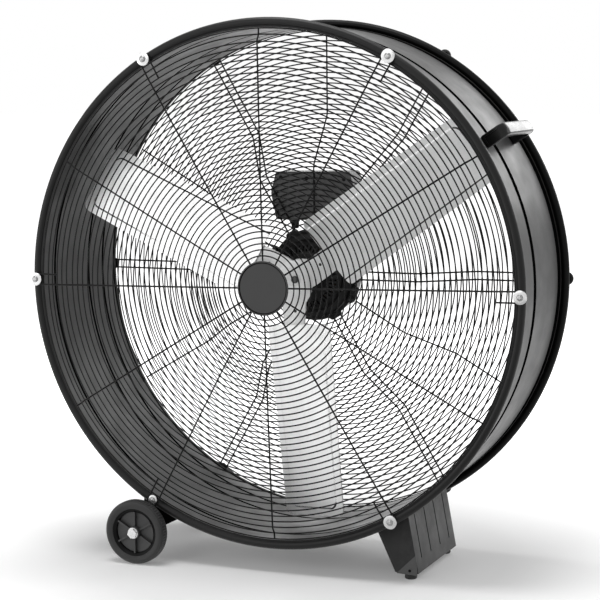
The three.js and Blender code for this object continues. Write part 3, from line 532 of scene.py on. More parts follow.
def piece(name, form, material, body, replaces=(), at=ON_AXIS, angle=35, bevel=0.0, segments=3,
          cuts=(), parts=()):
    """A piece of the fan in its place, riding on a body and standing for CAD nodes.

    parts are pairs of a material and a test, which says by a face's middle in millimetres whether
    the face takes the material. The last test that does decides.
    """
    obj = bpy.data.objects.new(name, mesh_of(name, form, angle))
    bpy.context.collection.objects.link(obj)
    place = at.copy()
    place.translation *= MM
    obj.matrix_world = place
    obj.data.materials.append(material)
    for other, _ in parts:
        obj.data.materials.append(other)
    for face in obj.data.polygons:
        for i, (_, takes) in enumerate(parts):
            if takes(face.center / MM):
                face.material_index = i + 1
    if bevel:
        modifier = obj.modifiers.new("edges", "BEVEL")
        modifier.width = bevel * MM
        modifier.segments = segments
        modifier.limit_method = "ANGLE"
        modifier.angle_limit = BEVEL_FROM
        modifier.harden_normals = True
    if cuts:
        carve(obj, cuts, BEVELLED_CUT_ANGLE if bevel else CUT_ANGLE)
    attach(obj, body)
    if replaces:
        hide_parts(*([replaces] if isinstance(replaces, str) else replaces))
    return obj


# ---------------------------------------------------------------- camera
def camera():
    """The camera as solved from the photo, in metres."""
    data = bpy.data.cameras.new("camera")
    data.lens = 114.197
    data.sensor_width = 36
    data.clip_end = 100
    obj = bpy.data.objects.new("camera", data)
    bpy.context.collection.objects.link(obj)
    right = (0.92200409, 0.38703758, -0.01050533)
    up = (-0.03785488, 0.11711474, 0.99239667)
    back = (0.38532513, -0.91459611, 0.12263153)
    facing = Matrix((right, up, back)).transposed().to_4x4()
    obj.matrix_world = Matrix.Translation((1.3931, -3.2990, 0.9349)) @ facing
    bpy.context.scene.camera = obj


# ---------------------------------------------------------------- drum
def drum():
    """The sheet and its two rolled rims. The sheet opens a little toward the rear rim."""
    def swage(face, depth, y, half):
        slope = half * 0.4
        return [(face, y - half), (face - depth, y - half + slope), (face - depth, y + half - slope),
                (face, y + half)]

    outer = [(DRUM_R, -SHEET_END), (DRUM_R, SHADE_Y)]
    outer += swage(DRUM_R, GROOVE_DEPTH, GROOVE_Y, GROOVE_HALF)
    # the band before the rear rim is split off for its painted reflection and shade
    outer += [(DRUM_R, RIM_REFLECTION_BAND[0]), (DRUM_R, RIM_REFLECTION_BAND[1]), (DRUM_R + 1.6, SHEET_END)]
    inner = [(DRUM_INSIDE, -SHEET_END)]
    for y in BEADS:
        inner += swage(DRUM_INSIDE, -BEAD_DEPTH, y, BEAD_HALF)
    inner += [(DRUM_INSIDE, 132), (DRUM_INSIDE + 2.2, SHEET_END)]

    skin = DRUM_INSIDE + 2  # between the faces inside and outside

    # faces inside the sheet take the drum's paint made darker, as painted shade
    def inside(middle):
        return radius_at(middle) < skin and middle.y < 139

    def in_painted_shade(middle):
        """In a groove, on the strip beside the outer one or on the band before the rear rim: where shade,
        and there the rim's reflection, are painted.
        """
        r = radius_at(middle)
        if r > skin:
            beside = SHADE_Y < middle.y < GROOVE_Y + GROOVE_HALF
            return beside or RIM_REFLECTION_BAND[0] < middle.y < RIM_REFLECTION_BAND[1]
        return r > DRUM_INSIDE + 0.3 and abs(middle.y) < 130

    # the grooves, the strip beside the outer one and the band before the rear rim take painted shade
    piece("drum_sheet", turned([*outer, *reversed(inner)], ROUND), drum_paint, "drum",
          "drum_shell", angle=25, parts=[(shaded_inner_paint, inside), (painted_shade, in_painted_shade)])
    opening = math.acos(-ROLL_OUT / ROLL_R)
    chord = math.sqrt(ROLL_R ** 2 - ROLL_OUT ** 2)
    rims = (("front", -RIM_Y, rim_paint, "dark_paint"), ("rear", RIM_Y, black_paint, "black_paint"))
    for side, y, paint, slot in rims:
        roll = []
        for k in range(25):
            a = opening * (2 * k / 24 - 1)
            roll.append((DRUM_R + ROLL_OUT + ROLL_R * cos(a), y + ROLL_R * sin(a)))
        roll += [(DRUM_INSIDE, y + chord), (DRUM_INSIDE, y - chord)]
        piece(f"{side}_rolled_rim", turned(roll, ROUND), paint, "drum", f"{side}_rim", angle=50)


# ---------------------------------------------------------------- grilles
def dome(r):
    """Height of the front grille in front of the rim's middle."""
    return FRONT_CROWN - (FRONT_CROWN - FRONT_EDGE) * (r / SHOULDER_R) ** 2


def cone(r):
    """Depth of the rear grille: a dish, a cone and an outer flat."""
    return DISH_Y + DISH_DEPTH * min(max((r - DISH_R) / (DISH_TOP_R - DISH_R), 0), 1)


def loop_round(turn, half, y):
    """A wire's half turn round a clip's bolt."""
    middle = polar(CLIP_R, y, turn)
    side = polar(half, 0, turn + math.pi / 2)
    out = polar(half, 0, turn)
    return [middle + side * cos(math.pi * k / 12) + out * sin(math.pi * k / 12) for k in range(13)]


def grille_rings(places):
    """Ring wires at (radius, y) places. The larger have more facets."""
    return [turned(round_section(r, y, RING_HALF, RING_SIDES), 168 if r > 200 else 108)
            for r, y in places]


def front_grille():
    radii = [58.9 + 11.0 * i for i in range(32)] + [412.9 + 10.45 * i for i in range(4)]
    rings = [(r, -RIM_Y - dome(min(r, SHOULDER_R))) for r in radii]
    rings += [(TUCK_R, -RIM_Y - TUCK_Y), (OUTER_RING_R, -RIM_Y - TUCK_Y)]
    forms = grille_rings(rings)
    for i in range(SPOKES):
        turn = SPOKE_TURN + i * TURN / SPOKES
        line = [(r, dome(r) + CROSSING) for r in (25, 100, 180, 260, 340, 400, SHOULDER_R)]
        if i % 2:
            line += [(TUCK_R, TUCK_Y + CROSSING), (OUTER_RING_R, TUCK_Y + CROSSING)]
            path = [polar(r, -RIM_Y - y, turn) for r, y in line]
        else:
            bolt = turn - SPOKE_TURN
            half = CLIP_R * sin(SPOKE_TURN)
            path = [polar(r, -RIM_Y - y, turn) for r, y in [*line, (459, ON_RIM_Y)]]
            path += loop_round(bolt, half, -RIM_Y - ON_RIM_Y)
            side = polar(-half, 0, bolt + math.pi / 2)
            hook = [(459, ON_RIM_Y), (SHOULDER_R, FRONT_EDGE + CROSSING), (434, FRONT_EDGE + CROSSING)]
            path += [polar(r, -RIM_Y - y, bolt) + side for r, y in hook]
        forms.append(wire(rounded(path, 4, 3, loop=False), SPOKE_WIRE + PAINT))
    piece("front_grille_wires", joined(forms), wire_paint, "drum", "front_grille", angle=60)


def rear_grille():
    def spread(low, high, count):
        return [low + (high - low) * i / (count - 1) for i in range(count)]

    radii = spread(REAR_INNER_R, 207.8, 11) + spread(217.0, 307.2, 11) + spread(315.4, OUTER_RING_R, 16)
    forms = grille_rings([(r, cone(r) - CROSSING) for r in radii])
    for i in range(SPOKES):
        turn = i * TURN / SPOKES
        if i % 2:
            path = [polar(r, cone(r), turn) for r in (REAR_INNER_R, DISH_R, DISH_TOP_R, OUTER_RING_R)]
        else:
            aside = polar(ROD_HALF, 0, turn + math.pi / 2)
            out = [polar(r, cone(r), turn) + aside for r in (ROD_END_R, DISH_R, DISH_TOP_R)]
            back = [polar(r, cone(r), turn) - aside for r in (DISH_TOP_R, DISH_R, ROD_END_R)]
            path = out + loop_round(turn, ROD_HALF, REAR_FLAT_Y) + back
        forms.append(wire(rounded(path, 7, 4, loop=False), SPOKE_WIRE + PAINT))
    piece("rear_grille_wires", joined(forms), wire_paint, "drum", "rear_grille", angle=60)


# ---------------------------------------------------------------- clips and hub disc
def cross_recess(reach, width, depth, top):
    return [block(0, top, 0, (2 * reach, depth, width)), block(0, top, 0, (width, depth, 2 * reach))]


def clips():
    """The screws and washers of the grilles, smaller where a wheel is near."""
    shank = 3
    washer_low = SEAT_GAP + SPOKE_WIRE + SEAT_GAP
    face = washer_low + 1.6
    for side, sign in (("front", -1), ("rear", 1)):
        for i in range(CLIPS):
            washer, head, ring = (8.5, 4.8, 475) if i == 4 else (12.5, 6, CLIP_R)
            plate = [(shank, washer_low), (washer, washer_low), (washer, face - 0.5),
                     (head + 1.2, face), (shank, face)]
            form = turned(rounded(plate, 0.5, 3), 48)
            stem = [(0, SEAT_GAP), (shank, SEAT_GAP), (shank, face), (0, face)]
            form.add(turned(stem, 24, ring=False))
            top = [(head * sin(a), face + 0.5 + 2.7 * cos(a)) for a in (k * math.pi / 16 for k in range(9))]
            form.add(turned([*top, (head, face - 0.1), (0, face - 0.1)], 32, ring=False))
            place = ON_AXIS @ Matrix.Translation(polar(ring, sign * (RIM_Y + ROLL_R), i * TURN / CLIPS))
            if sign < 0:
                place = place @ FLIPPED
            bright, darker = (zinc, screw_zinc) if sign < 0 else (dark_zinc, dark_zinc)
            piece(f"{side}_screw_{i + 1}", form, bright, "drum", f"{side}_clip_{i + 1}", at=place,
                  cuts=cross_recess(head * 0.5, 1.1, 2.0, face + 3.4),
                  parts=[(darker, lambda m, edge=head, low=face: radius_at(m) < edge and m.y > low)])


def hub_disc():
    back = -RIM_Y - FRONT_CROWN - CROSSING - SPOKE_WIRE / 2 - SEAT_GAP
    face = back - 1.6
    outline = [(0, back), (49, back), (50, back - 0.6), (50, face - 0.4), (49.3, face - 1.1),
               (47.5, face - 1.1), (47.2, face + 0.6), (45.7, face + 0.6), (45.4, face - 0.1), (0, face)]
    # the groove inside the disc's lip takes black paint: painted shade in the groove
    piece("hub_disc", turned(outline, 96, ring=False), disc_paint, "drum", "front_hub_disc",
          angle=20, parts=[(black_paint, lambda m: 45.3 < radius_at(m) < 47.4 and m.y < back - 0.5)])


# ---------------------------------------------------------------- fan rotor
def corner_inset(radius, distance):
    """How far a rounded corner draws an edge in, at a distance before the corner's end."""
    return 0 if distance >= radius else radius - math.sqrt(radius ** 2 - (radius - distance) ** 2)


def blade_half(x):
    return ROOT_HALF - BLADE_TAPER * (x - BLADE_ROOT) / (BLADE_TIP - BLADE_ROOT)


def from_crease(x, z):
    """How far a point of a blade lies inside the crease round its panel."""
    aside = blade_half(x) - CREASE_IN - abs(z - BLADE_SHIFT)
    ahead = BLADE_TIP - CREASE_IN - x
    if aside < CREASE_CORNER and ahead < CREASE_CORNER:
        return CREASE_CORNER - math.hypot(CREASE_CORNER - aside, CREASE_CORNER - ahead)
    return min(aside, ahead)


def blade_form():
    """A blade with rounded corners and a panel pressed forward inside its edges, along +X."""
    end = BLADE_TIP - CREASE_IN
    arc = [k * math.pi / 20 for k in range(11)]
    stations = [BLADE_ROOT + ROOT_CORNER * (1 - cos(a)) for a in arc]
    start = BLADE_ROOT + ROOT_CORNER
    stations += [start + (end - CREASE_CORNER - start) * k / 24 for k in range(1, 24)]
    stations += [end - CREASE_CORNER * (1 - sin(a)) for a in arc]
    stations += [end - CREASE_WIDTH - (CREASE_CORNER - CREASE_WIDTH) * (1 - sin(a)) for a in arc]
    stations += [BLADE_TIP - TIP_CORNER * (1 - sin(a)) for a in arc]
    stations = sorted(set(round(s, 2) for s in stations))

    def row(x):
        full = blade_half(x)
        edge = full - corner_inset(TIP_CORNER, max(BLADE_TIP - x, 0))
        edge -= corner_inset(ROOT_CORNER, x - BLADE_ROOT)
        crease = min(full - CREASE_IN - corner_inset(CREASE_CORNER, max(end - x, 0)), edge - 1)
        ahead = max(end - CREASE_WIDTH - x, 0)
        inner = full - CREASE_IN - CREASE_WIDTH - corner_inset(CREASE_CORNER - CREASE_WIDTH, ahead)
        inner = min(inner, crease - 0.4)
        zs = [-edge, -(edge + crease) / 2, -crease, -(crease + inner) / 2, -inner]
        zs += [inner * (k / 6 - 1) for k in range(1, 6)] + [0]
        zs += [-z for z in reversed(zs[:-1])]
        return [(x, z + BLADE_SHIFT) for z in zs]

    def lift(x, z):
        return -CREASE_RISE * smooth_step(0, CREASE_WIDTH, from_crease(x, z))

    return sheet([row(x) for x in stations], BLADE_THICK, lift)


def arm_form():
    """One arm of the spider along +X: flat at the hub, then bent and pitched as the blade is."""
    start, end, steps = 12, 165, 51
    rows = []
    for k in range(steps + 1):
        x = start + (end - start) * k / steps
        half = 23.5 + 7 * (1 - smooth_step(24, 50, x)) - corner_inset(7, end - x)
        rows.append((x, half, smooth_step(50, 86, x)))
    columns = 9
    corners = []
    for side in (-1, 1):
        for x, half, bend in rows:
            tilt = Matrix.Rotation(PITCH * bend, 3, "X")
            middle = Vector((0, HUB_Y + (SPIDER_Y - HUB_Y) * bend, 0))
            for j in range(columns):
                z = half * (2 * j / (columns - 1) - 1) + ARM_SHIFT * smooth_step(20, 50, x)
                corners.append(middle + tilt @ Vector((x, side * ARM_HALF, z)))
    return slab(corners, len(rows), columns)


def rivet(head, height):
    """A domed head from y = 0 toward -Y."""
    points = [(head * sin(a), -height * cos(a)) for a in (k * math.pi / 12 for k in range(7))]
    return turned([*points, (0, 0)], 24, ring=False)


def rotor():
    spider = turned(rounded([(6.9, -2.8), (36.5, -2.8), (36.5, 2.8), (6.9, 2.8)], 1.2, 2), 72)
    spider.add(turned(rounded([(6.9, -4), (11, -4), (13, -2.6), (6.9, -2.6)], 0.8, 2), 48))
    spider = spider.at(shifted(0, HUB_Y, 0))
    rivets = Form()
    for i in range(3):
        turn = BLADE_TURN + i * TURN / 3
        place = ON_AXIS @ swung(turn) @ shifted(0, BLADE_Y, 0) @ Matrix.Rotation(PITCH, 4, "X")
        # the creases on a blade's front take the painted highlight
        piece(f"blade_sheet_{i + 1}", blade_form(), blade_metal, "fan_rotor",
              f"blade_{i + 1}", at=place, angle=28, parts=[(crease_highlight,
                      lambda m: 0.1 < from_crease(m.x, m.z) < CREASE_WIDTH - 0.1 and m.y < 0)])
        spider.add(arm_form().at(swung(turn)))
        rivets.add(rivet(3.2, 2.2).at(swung(turn) @ shifted(60, HUB_Y - 2.8, -4.7)))
        tilted = swung(turn) @ shifted(0, SPIDER_Y, 0) @ Matrix.Rotation(PITCH, 4, "X")
        for x, z in ARM_RIVETS:
            rivets.add(rivet(3.2, 1.6).at(tilted @ shifted(x, 2.4, z) @ FLIPPED))
    piece("spider", spider, spider_metal, "fan_rotor", "fan_spider", angle=30)
    piece("spider_rivets", rivets, dark_zinc, "fan_rotor", angle=50)
    low = SPIDER_Y + 8.6 + SEAT_GAP
    boss = rounded([(6.9, low), (30, low), (30, low + 4), (20, low + 6), (20, low + 32), (6.9, low + 32)],
                   1, 3)
    piece("rotor_boss", turned(boss, 64), spider_metal, "fan_rotor", "hub_boss", angle=30)
    tip = HUB_Y - 8
    core_y = MOTOR_FACE_Y + 45
    shaft = [(0, tip), (5.4, tip), (6.6, tip + 1.2), (6.6, core_y), (44.6, core_y), (44.6, core_y + 30),
             (6.6, core_y + 30), (6.6, 130.2), (0, 130.2)]
    piece("shaft", turned(shaft, 48, ring=False), shaft_steel, "fan_rotor", "rotor_shaft",
          angle=30)


# ---------------------------------------------------------------- motor
def vent_slots(y, inner, outer, width, count, pitch):
    """Radial slots, in six groups of count slots that stand pitch degrees apart."""
    cuts = []
    for group in range(6):
        for k in range(count):
            turn = radians(60 * group + 30) + radians(pitch) * (k - (count - 1) / 2)
            slot = rounded([(inner, -width / 2), (outer, -width / 2), (outer, width / 2),
                            (inner, width / 2)], 1, 2)
            cuts.append(prism(pairs(slot), y - 14, y + 14).at(swung(turn)))
    return cuts


def motor():
    face = MOTOR_FACE_Y
    front = rounded([(9, face - 2), (24, face - 2), (27, face), (45, face + 0.5), (66, face + 13),
                     (69, face + 16), (69, face + 20), (80, face + 22), (MOTOR_R, face + 25)],
                    2.5, 3, loop=False)
    front += [(MOTOR_R, 76.3), (MOTOR_INSIDE, 76.3), (MOTOR_INSIDE, face + 27), (62, face + 19),
              (43, face + 6), (9, face + 6)]
    piece("motor_front", turned(front, 96), motor_paint, "drum", "motor_front_bell",
          angle=30, cuts=vent_slots(face + 8, 48, 60, 2.8, 7, 8))
    flange = turned(rounded([(MOTOR_INSIDE, FLANGE_Y), (88.8, FLANGE_Y), (88.8, FLANGE_Y + 4),
                             (MOTOR_INSIDE, FLANGE_Y + 4)], 1, 3), 96)
    bolts = Form()
    for i in range(6):
        turn = i * TURN / 6
        lug = rounded([(80, -14), (94.8, -13), (94.8, 13), (80, 14)], 6, 5)
        flange.add(prism(pairs(lug), FLANGE_Y + 0.2, FLANGE_Y + 3.8).at(swung(turn)))
    for k in range(4):
        turn = EAR_TURN + k * TURN / 4
        ear = rounded([(78, -20), (97, -17), (97, 17), (78, 20)], 7, 5)
        flange.add(prism(pairs(ear), FLANGE_Y - 5, FLANGE_Y + 1).at(swung(turn)))
        for z in (-10.5, 10.5):
            boss = turned(rounded([(0, 0), (6, 0), (6, -7), (0, -7)], 1.8, 4, loop=False), 32, ring=False)
            flange.add(boss.at(swung(turn) @ shifted(90, FLANGE_Y - 4.5, z)))
            bolts.add(rivet(3, 1.6).at(swung(turn) @ shifted(90, FLANGE_Y - 11.4, z)))
    piece("motor_ring", flange, motor_paint, "drum", "motor_flange", angle=35)
    piece("motor_ring_bolts", bolts, dark_zinc, "drum", angle=50)
    housing = rounded([(MOTOR_INSIDE, HOUSING_Y), (MOTOR_R, HOUSING_Y), (MOTOR_R, HOUSING_Y + 38),
                       (MOTOR_INSIDE, HOUSING_Y + 38)], 0.8, 2)
    piece("motor_body", turned(housing, 96), motor_paint, "drum", "motor_housing", angle=30)
    low, high = REAR_BELL_Y, REAR_BELL_Y + 18
    rear = rounded([(0, high), (58, high), (80, low + 10), (MOTOR_R, low)], 5, 4, loop=False)
    rear += [(MOTOR_INSIDE, low), (62, high - 6), (0, high - 6)]
    piece("motor_rear", turned(rear, 96, ring=False), motor_paint, "drum", "motor_rear_bell",
          angle=30, cuts=vent_slots(high - 2, 34, 52, 3, 5, 8))
    screws = Form()
    for k in range(4):
        turn = radians(45 + 90 * k)
        screws.add(rivet(4.5, 3).at(swung(turn) @ shifted(66, high - 1, 0) @ FLIPPED))
    piece("motor_rear_screws", screws, dark_zinc, "drum", angle=50)


# ---------------------------------------------------------------- control box
def inset(outline, wall):
    """The box's outline drawn in by the thickness of a wall."""
    middle_x, middle_z = -4, 150.5
    return [(x - math.copysign(wall, x - middle_x), z - math.copysign(wall, z - middle_z))
            for x, z in outline]


def control_box():
    outline = pairs(rounded(BOX_OUTLINE, 4, 3))
    hollow = prism(inset(BOX_OUTLINE, BOX_WALL), BOX_Y + BOX_WALL, LID_Y + 1)
    piece("control_housing", prism(outline, BOX_Y, BOX_Y + BOX_DEPTH), box_plastic, "drum",
          "control_box", bevel=2.5, segments=4, cuts=[hollow])
    screws = Form()
    for x, z in ((-70, 186), (-16, 185), (61, 184)):
        screws.add(rivet(4, 1.4).at(shifted(x, BOX_Y + 0.1, z)))
    piece("control_housing_screws", screws, wire_paint, "drum", angle=50)
    lid = pairs(rounded(inset(BOX_OUTLINE, 3), 4, 3))
    hole = turned([(0, LID_Y - 4), (3.3, LID_Y - 4), (3.3, LID_Y + 4), (0, LID_Y + 4)], 24, ring=False)
    piece("control_cover", prism(lid, LID_Y, LID_Y + 2), box_plastic, "drum",
          "control_lid", bevel=0.5, segments=2, cuts=[hole.at(shifted(KNOB[0], 0, KNOB[1]))])
    knob = turned([(0, -5), (3, -5), (3, 2.3), (15, 2.3), (15, 5), (14.4, 6.3), (13, 7), (12, 7.6),
                   (11, 16), (10.4, 17), (9.4, 17.3), (0, 17.3)], 60, ring=False,
                  dent=lambda r, y, i: r - 0.5 if i % 3 == 0 and 10 < r < 12.5 else r)
    knob.add(block(0, 12.3, 6.4, (2.4, 10.4, 13.2)))
    piece("control_knob", knob, grip_plastic, "speed_knob_body", "speed_knob",
          at=ON_AXIS @ shifted(KNOB[0], LID_Y, KNOB[1]), angle=30)
    top = 103.7
    gland = turned([(4.5, top), (9, top), (9, top - 4.6), (8.6, top - 5), (7.5, top - 5.4), (7.5, top - 15),
                    (6, top - 18), (4.5, top - 18)], 36,
                   dent=lambda r, y, i: r - 0.5 if i % 3 == 0 and 7 < r < 8 else r)
    piece("gland", gland.at(UPRIGHT), black_paint, "drum", "cord_gland",
          at=ON_AXIS @ shifted(GLAND_X, BOX_Y + BOX_DEPTH / 2, 0), angle=30)
    bends = [83.3 + 20.4 * k / 48 for k in range(49)]
    sleeve = [(3.2 - 0.4 * (0.5 + 0.5 * cos(TURN * k / 6)), z) for k, z in enumerate(bends)]
    piece("conduit", turned([(0, bends[0]), *sleeve, (0, bends[-1])], 36, ring=False).at(UPRIGHT),
          pad_rubber, "drum", "motor_conduit",
          at=ON_AXIS @ shifted(0, BOX_Y + 18.33, 0), angle=50)


# ---------------------------------------------------------------- handle
def handle():
    low, high = SEAT, DRUM_R + 49.5
    front, rear, leg, grip = -89, 84, 15, 15
    outer = [(low, front), (high, front), (high, rear), (low, rear)]
    outer = [Vector(outer[0]), *rounded(outer, 18, 8)[9:27], Vector(outer[3])]
    inner = [(low, rear - leg), (high - grip, rear - leg), (high - grip, front + leg), (low, front + leg)]
    inner = [Vector(inner[0]), *rounded(inner, 9, 6)[7:21], Vector(inner[3])]
    line = pairs([*outer, *inner])
    count = len(line)
    width = 25
    sag = 2.4  # how much lower the grip is at its sides
    layers = 9
    corners = []
    for k in range(layers):
        z = width * (k / (layers - 1) - 0.5)
        for x, y in line:
            crown = sag * (2 * z / width) ** 2 * smooth_step(high - 12, high - 1, x)
            corners.append((x - crown, y, z))
    faces = []
    for k in range(layers - 1):
        for i in range(count):
            j = (i + 1) % count
            faces.append((k * count + i, k * count + j, (k + 1) * count + j, (k + 1) * count + i))
    faces += [tuple(range(count - 1, -1, -1)), tuple((layers - 1) * count + i for i in range(count))]
    cuts = [block(low + 20, front, 0, (28, 2.4, 15)), block(low + 20, rear, 0, (28, 2.4, 15))]
    piece("grip", Form(corners, faces), grip_plastic, "drum", "carry_handle",
          at=ON_AXIS @ swung(HANDLE_TURN), bevel=3.2, segments=4, cuts=cuts)


# ---------------------------------------------------------------- wheels
def tyre_form():
    shoulder = rounded([(45.3, 3.2), (51, 0.4), (56, 0), (WHEEL_R, 5), (WHEEL_R, 23), (56, WHEEL_WIDTH),
                        (51, 27.6), (45.3, 24.8)], 3.5, 4, loop=False)
    points = pairs(shoulder)
    return turned(points, 216, dent=lambda r, y, i: r - 1.1 if r > WHEEL_R - 0.5 and i % 3 == 0 else r)


def hub_form():
    width, web = WHEEL_WIDTH, 11
    outline = [(6.4, 0), (12, 0), (12, web), (38.6, web), (38.8, 7), (44.8, 3.4), (45, 3.8), (45, 24.2),
               (44.8, 24.6), (38.8, 21), (38.6, web + 6), (12, web + 6), (12, width), (6.4, width)]
    form = turned(rounded(outline, 0.7, 2), 96)
    for i in range(6):
        rib = [(11, 4.5), (39.5, 4.5), (39.5, width - 4.5), (11, width - 4.5)]
        plate = Form([(x, y, z) for z in (-1.6, 1.6) for x, y in rib],
                     [(0, 1, 2, 3), (7, 6, 5, 4), (0, 4, 5, 1), (1, 5, 6, 2), (2, 6, 7, 3), (3, 7, 4, 0)])
        form.add(plate.at(swung((i + 0.5) * TURN / 6)))
    return form


def bolt_form():
    form = turned(rounded([(0, 0), (10.5, 0), (10.5, 1.5), (0, 1.5)], 0.4, 2, loop=False), 48, ring=False)
    head = turned([(0, 1.3), (9.8, 1.3), (9.8, 5.9), (9.3, 6.3), (0, 6.3)], 6, ring=False)
    return form.add(head.at(Matrix.Rotation(radians(14), 4, "Y")))


def wheels():
    from_axis = math.hypot(AXIS_Z - WHEEL_R, WHEEL.x)
    turn = math.atan2(WHEEL_R - AXIS_Z, WHEEL.x)
    gusset = [Vector((from_axis - 7.5, -15))]
    gusset += [Vector((from_axis + 15 * sin(a), -15 * cos(a)))
               for a in (math.pi * k / 16 for k in range(17))]
    gusset += [Vector((DRUM_R + 24, 45))]
    arc = [(math.sqrt(SEAT ** 2 - z ** 2), z) for z in (62.4 - 98.4 * k / 24 for k in range(25))]
    outline = pairs(gusset) + arc
    for side, sign in (("front", -1), ("rear", 1)):
        body = f"{side}_wheel"
        place = Matrix.Translation(WHEEL + Vector((0, sign * WHEEL_INNER_Y, 0)))
        if sign < 0:
            place = place @ FLIPPED
        # the tread takes the darker pad rubber: painted shade on the tread
        piece(f"{side}_tyre_tread", tyre_form(), tyre_rubber, body, f"{side}_tyre", at=place,
              angle=30, parts=[(pad_rubber, lambda m: radius_at(m) > WHEEL_R - 2)])
        # the hub's wall round its recess takes black paint: painted shade in the recess
        piece(f"{side}_hub", hub_form(), hub_plastic, body, f"{side}_wheel_hub", at=place,
              angle=30, parts=[(black_paint, lambda m: radius_at(m) > 38.4)])
        piece(f"{side}_bolt", bolt_form(), zinc, "drum", f"{side}_axle_bolt",
              at=place @ shifted(0, WHEEL_WIDTH + SEAT_GAP, 0), angle=25)
        low = FRONT_BRACKET_Y if sign < 0 else REAR_BRACKET_Y
        piece(f"{side}_gusset", prism(outline, low, low + BRACKET_THICK), black_paint, "drum",
              f"{side}_wheel_bracket", at=ON_AXIS @ swung(turn), bevel=0.7, segments=2)
    rod = [(0, -AXLE_HALF), (AXLE_R, -AXLE_HALF), (AXLE_R, AXLE_HALF), (0, AXLE_HALF)]
    rod = turned(rounded(rod, 0.6, 2, loop=False), 36, ring=False)
    piece("axle", rod, dark_zinc, "drum", "wheel_axle", at=Matrix.Translation(WHEEL), angle=30)


# ---------------------------------------------------------------- foot
def foot():
    front, rear = -106, 115

    def up_to_drum(x, lean):
        """Height over the floor at which a leaning edge meets the drum."""
        z = FOOT_BOTTOM
        while math.hypot(x - lean * (z - FOOT_BOTTOM), AXIS_Z - z) > SEAT:
            z += 0.05
        return z

    inner, outer = 231, 276
    inner_lean, outer_lean = 0.463, 0.18
    inner_z, outer_z = up_to_drum(inner, inner_lean), up_to_drum(outer, outer_lean)
    inner_x = inner - inner_lean * (inner_z - FOOT_BOTTOM)
    outer_x = outer - outer_lean * (outer_z - FOOT_BOTTOM)
    first, last = math.atan2(outer_z - AXIS_Z, outer_x), math.atan2(inner_z - AXIS_Z, inner_x)
    outline = [(inner, FOOT_BOTTOM), (outer, FOOT_BOTTOM)]
    turns = [first + (last - first) * k / 16 for k in range(17)]
    outline += [(SEAT * cos(turn), AXIS_Z + SEAT * sin(turn)) for turn in turns]
    half, length, pitch, up = 2, 160, 53, 23  # of the slots pressed into the side
    line = rounded([(-half, 0), (half, 0), (half, length), (-half, length)], 1.9, 4)
    # drawn across X, so only the faces are a prism's
    slot = Form([(x, p.x, p.y) for x in (-half, half) for p in line],
                prism([(0, 0)] * len(line), 0, 1).faces)
    tilt = Matrix.Rotation(-math.atan(outer_lean), 4, "Y")
    cuts = []
    for i in range(4):
        y = (front + rear) / 2 + pitch * (i - 1.5)
        cuts.append(slot.at(shifted(outer - outer_lean * up, y, FOOT_BOTTOM + up) @ tilt))
    piece("foot_shell", prism(outline, front, rear), foot_paint, "drum", "foot_bracket",
          at=ON_FLOOR, bevel=1.0, segments=3, cuts=cuts)
    low, high, ahead = (233, front, 10.6), (270.6, front, 47), (275.4, front - 5, 10.2)
    behind = [Vector(c) + Vector((0, 2, 0)) for c in (low, high, ahead)]
    flap = Form([low, high, ahead, *behind],
                [(0, 1, 2), (5, 4, 3), (0, 3, 4, 1), (1, 4, 5, 2), (2, 5, 3, 0)])
    # the flap's facet is painted lighter than the foot, as painted light
    piece("foot_flap", flap, lit_flap_paint, "drum", at=ON_FLOOR, bevel=0.5, segments=2)
    dot = rivet(2.6, 1.2).at(shifted(260, front - 3.4, 18) @ Matrix.Rotation(radians(-6), 4, "X"))
    piece("foot_screw", dot, black_paint, "drum", at=ON_FLOOR, angle=50)
    pad = turned(rounded([(0, 0), (10, 0), (11.5, 2), (10.5, 11.9), (0, 11.9)], 1, 3, loop=False), 48,
                 ring=False)
    for side, y in (("front", front + 13), ("rear", rear - 13)):
        piece(f"{side}_pad", pad.at(UPRIGHT), pad_rubber, "drum", f"{side}_foot_pad",
              at=shifted(257, y, 0), angle=35)


# ---------------------------------------------------------------- carried-over nodes
def paint_nodes():
    looks = {"front_bearing": bearing_steel, "rear_bearing": bearing_steel, "stator": copper,
             "run_capacitor": can_metal, "switch_body": switch_plastic}
    for name, material in looks.items():
        for slot in frame["nodes"][name].material_slots:
            slot.material = material


# ---------------------------------------------------------------- studio
def lamp(name, place, target, size, power):
    data = bpy.data.lights.new(name, "AREA")
    data.shape = "DISK"
    data.size = size
    data.energy = power
    obj = bpy.data.objects.new(name, data)
    bpy.context.collection.objects.link(obj)
    look = (Vector(target) - Vector(place)).to_track_quat("-Z", "Y")
    obj.matrix_world = Matrix.Translation(place) @ look.to_matrix().to_4x4()


def world():
    """White to the camera and in metal and glass, and a weaker light for the rest."""
    studio = bpy.data.worlds.new("studio")
    bpy.context.scene.world = studio
    studio.use_nodes = True
    tree = studio.node_tree
    tree.nodes.clear()
    path = tree.nodes.new("ShaderNodeLightPath")
    seen = path.outputs["Is Camera Ray"]
    for other in ("Is Glossy Ray", "Is Transmission Ray"):
        seen = math_node(tree, "MAXIMUM", seen, path.outputs[other])
    mix = tree.nodes.new("ShaderNodeMixShader")
    out = tree.nodes.new("ShaderNodeOutputWorld")
    tree.links.new(seen, mix.inputs[0])
    for socket, strength in ((mix.inputs[1], WORLD_LIGHT), (mix.inputs[2], 1.0)):
        background = tree.nodes.new("ShaderNodeBackground")
        background.inputs["Color"].default_value = WHITE
        background.inputs["Strength"].default_value = strength
        tree.links.new(background.outputs[0], socket)
    tree.links.new(mix.outputs[0], out.inputs["Surface"])


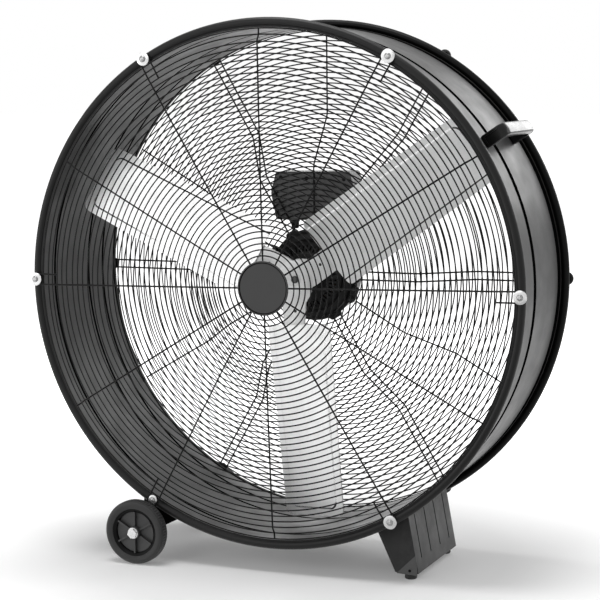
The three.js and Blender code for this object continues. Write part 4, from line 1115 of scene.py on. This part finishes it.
def floor():
    """A pale floor that keeps the fan's shadow and runs out into the white of the studio, with painted
    shadow round the fan and a painted dark patch in its reflections.
    """
    material = bpy.data.materials.new("floor_look")
    material.use_nodes = True
    tree = material.node_tree
    tree.nodes.clear()
    path = tree.nodes.new("ShaderNodeLightPath")
    diffuse = tree.nodes.new("ShaderNodeBsdfDiffuse")
    diffuse.inputs["Color"].default_value = FLOOR_COLOUR
    glow = tree.nodes.new("ShaderNodeEmission")
    glow.inputs["Color"].default_value = WHITE
    place = tree.nodes.new("ShaderNodeTexCoord").outputs["Object"]

    def glow_away_from(middle, near, far, least):
        """Rises to white with the distance from a point of the floor."""
        away = tree.nodes.new("ShaderNodeVectorMath")
        away.operation = "DISTANCE"
        away.inputs[1].default_value = middle
        fade = tree.nodes.new("ShaderNodeMapRange")
        for key, value in (("From Min", near), ("From Max", far), ("To Min", least), ("To Max", 1.0)):
            fade.inputs[key].default_value = value
        tree.links.new(place, away.inputs[0])
        tree.links.new(away.outputs["Value"], fade.inputs["Value"])
        return fade.outputs[0]

    seen = math_node(tree, "MAXIMUM", path.outputs["Is Camera Ray"], path.outputs["Is Transmission Ray"])
    # less glow round the fan: painted shadow
    seen = math_node(tree, "MULTIPLY", seen, glow_away_from(*CAMERA_GLOW_PAINTED_SHADOW))
    # glow seen only in reflections, with a painted dark patch where the blades face it
    painted_reflection = math_node(tree, "MULTIPLY", path.outputs["Is Glossy Ray"], glow_away_from(*MIRRORED_PAINTED_PATCH))
    tree.links.new(math_node(tree, "ADD", seen, painted_reflection), glow.inputs["Strength"])
    both = tree.nodes.new("ShaderNodeAddShader")
    out = tree.nodes.new("ShaderNodeOutputMaterial")
    tree.links.new(diffuse.outputs[0], both.inputs[0])
    tree.links.new(glow.outputs[0], both.inputs[1])
    tree.links.new(both.outputs[0], out.inputs["Surface"])
    mesh = bpy.data.meshes.new("floor")
    corners = [(-FLOOR_REACH, -FLOOR_REACH, 0), (FLOOR_REACH, -FLOOR_REACH, 0),
               (FLOOR_REACH, FLOOR_REACH, 0), (-FLOOR_REACH, FLOOR_REACH, 0)]
    mesh.from_pydata(corners, [], [(0, 1, 2, 3)])
    mesh.materials.append(material)
    obj = bpy.data.objects.new("floor", mesh)
    bpy.context.collection.objects.link(obj)


camera()
drum()
front_grille()
rear_grille()
clips()
hub_disc()
rotor()
motor()
control_box()
handle()
wheels()
foot()
paint_nodes()
world()
floor()
for settings in LAMPS:
    lamp(*settings)
bpy.context.scene.view_settings.view_transform = "Standard"
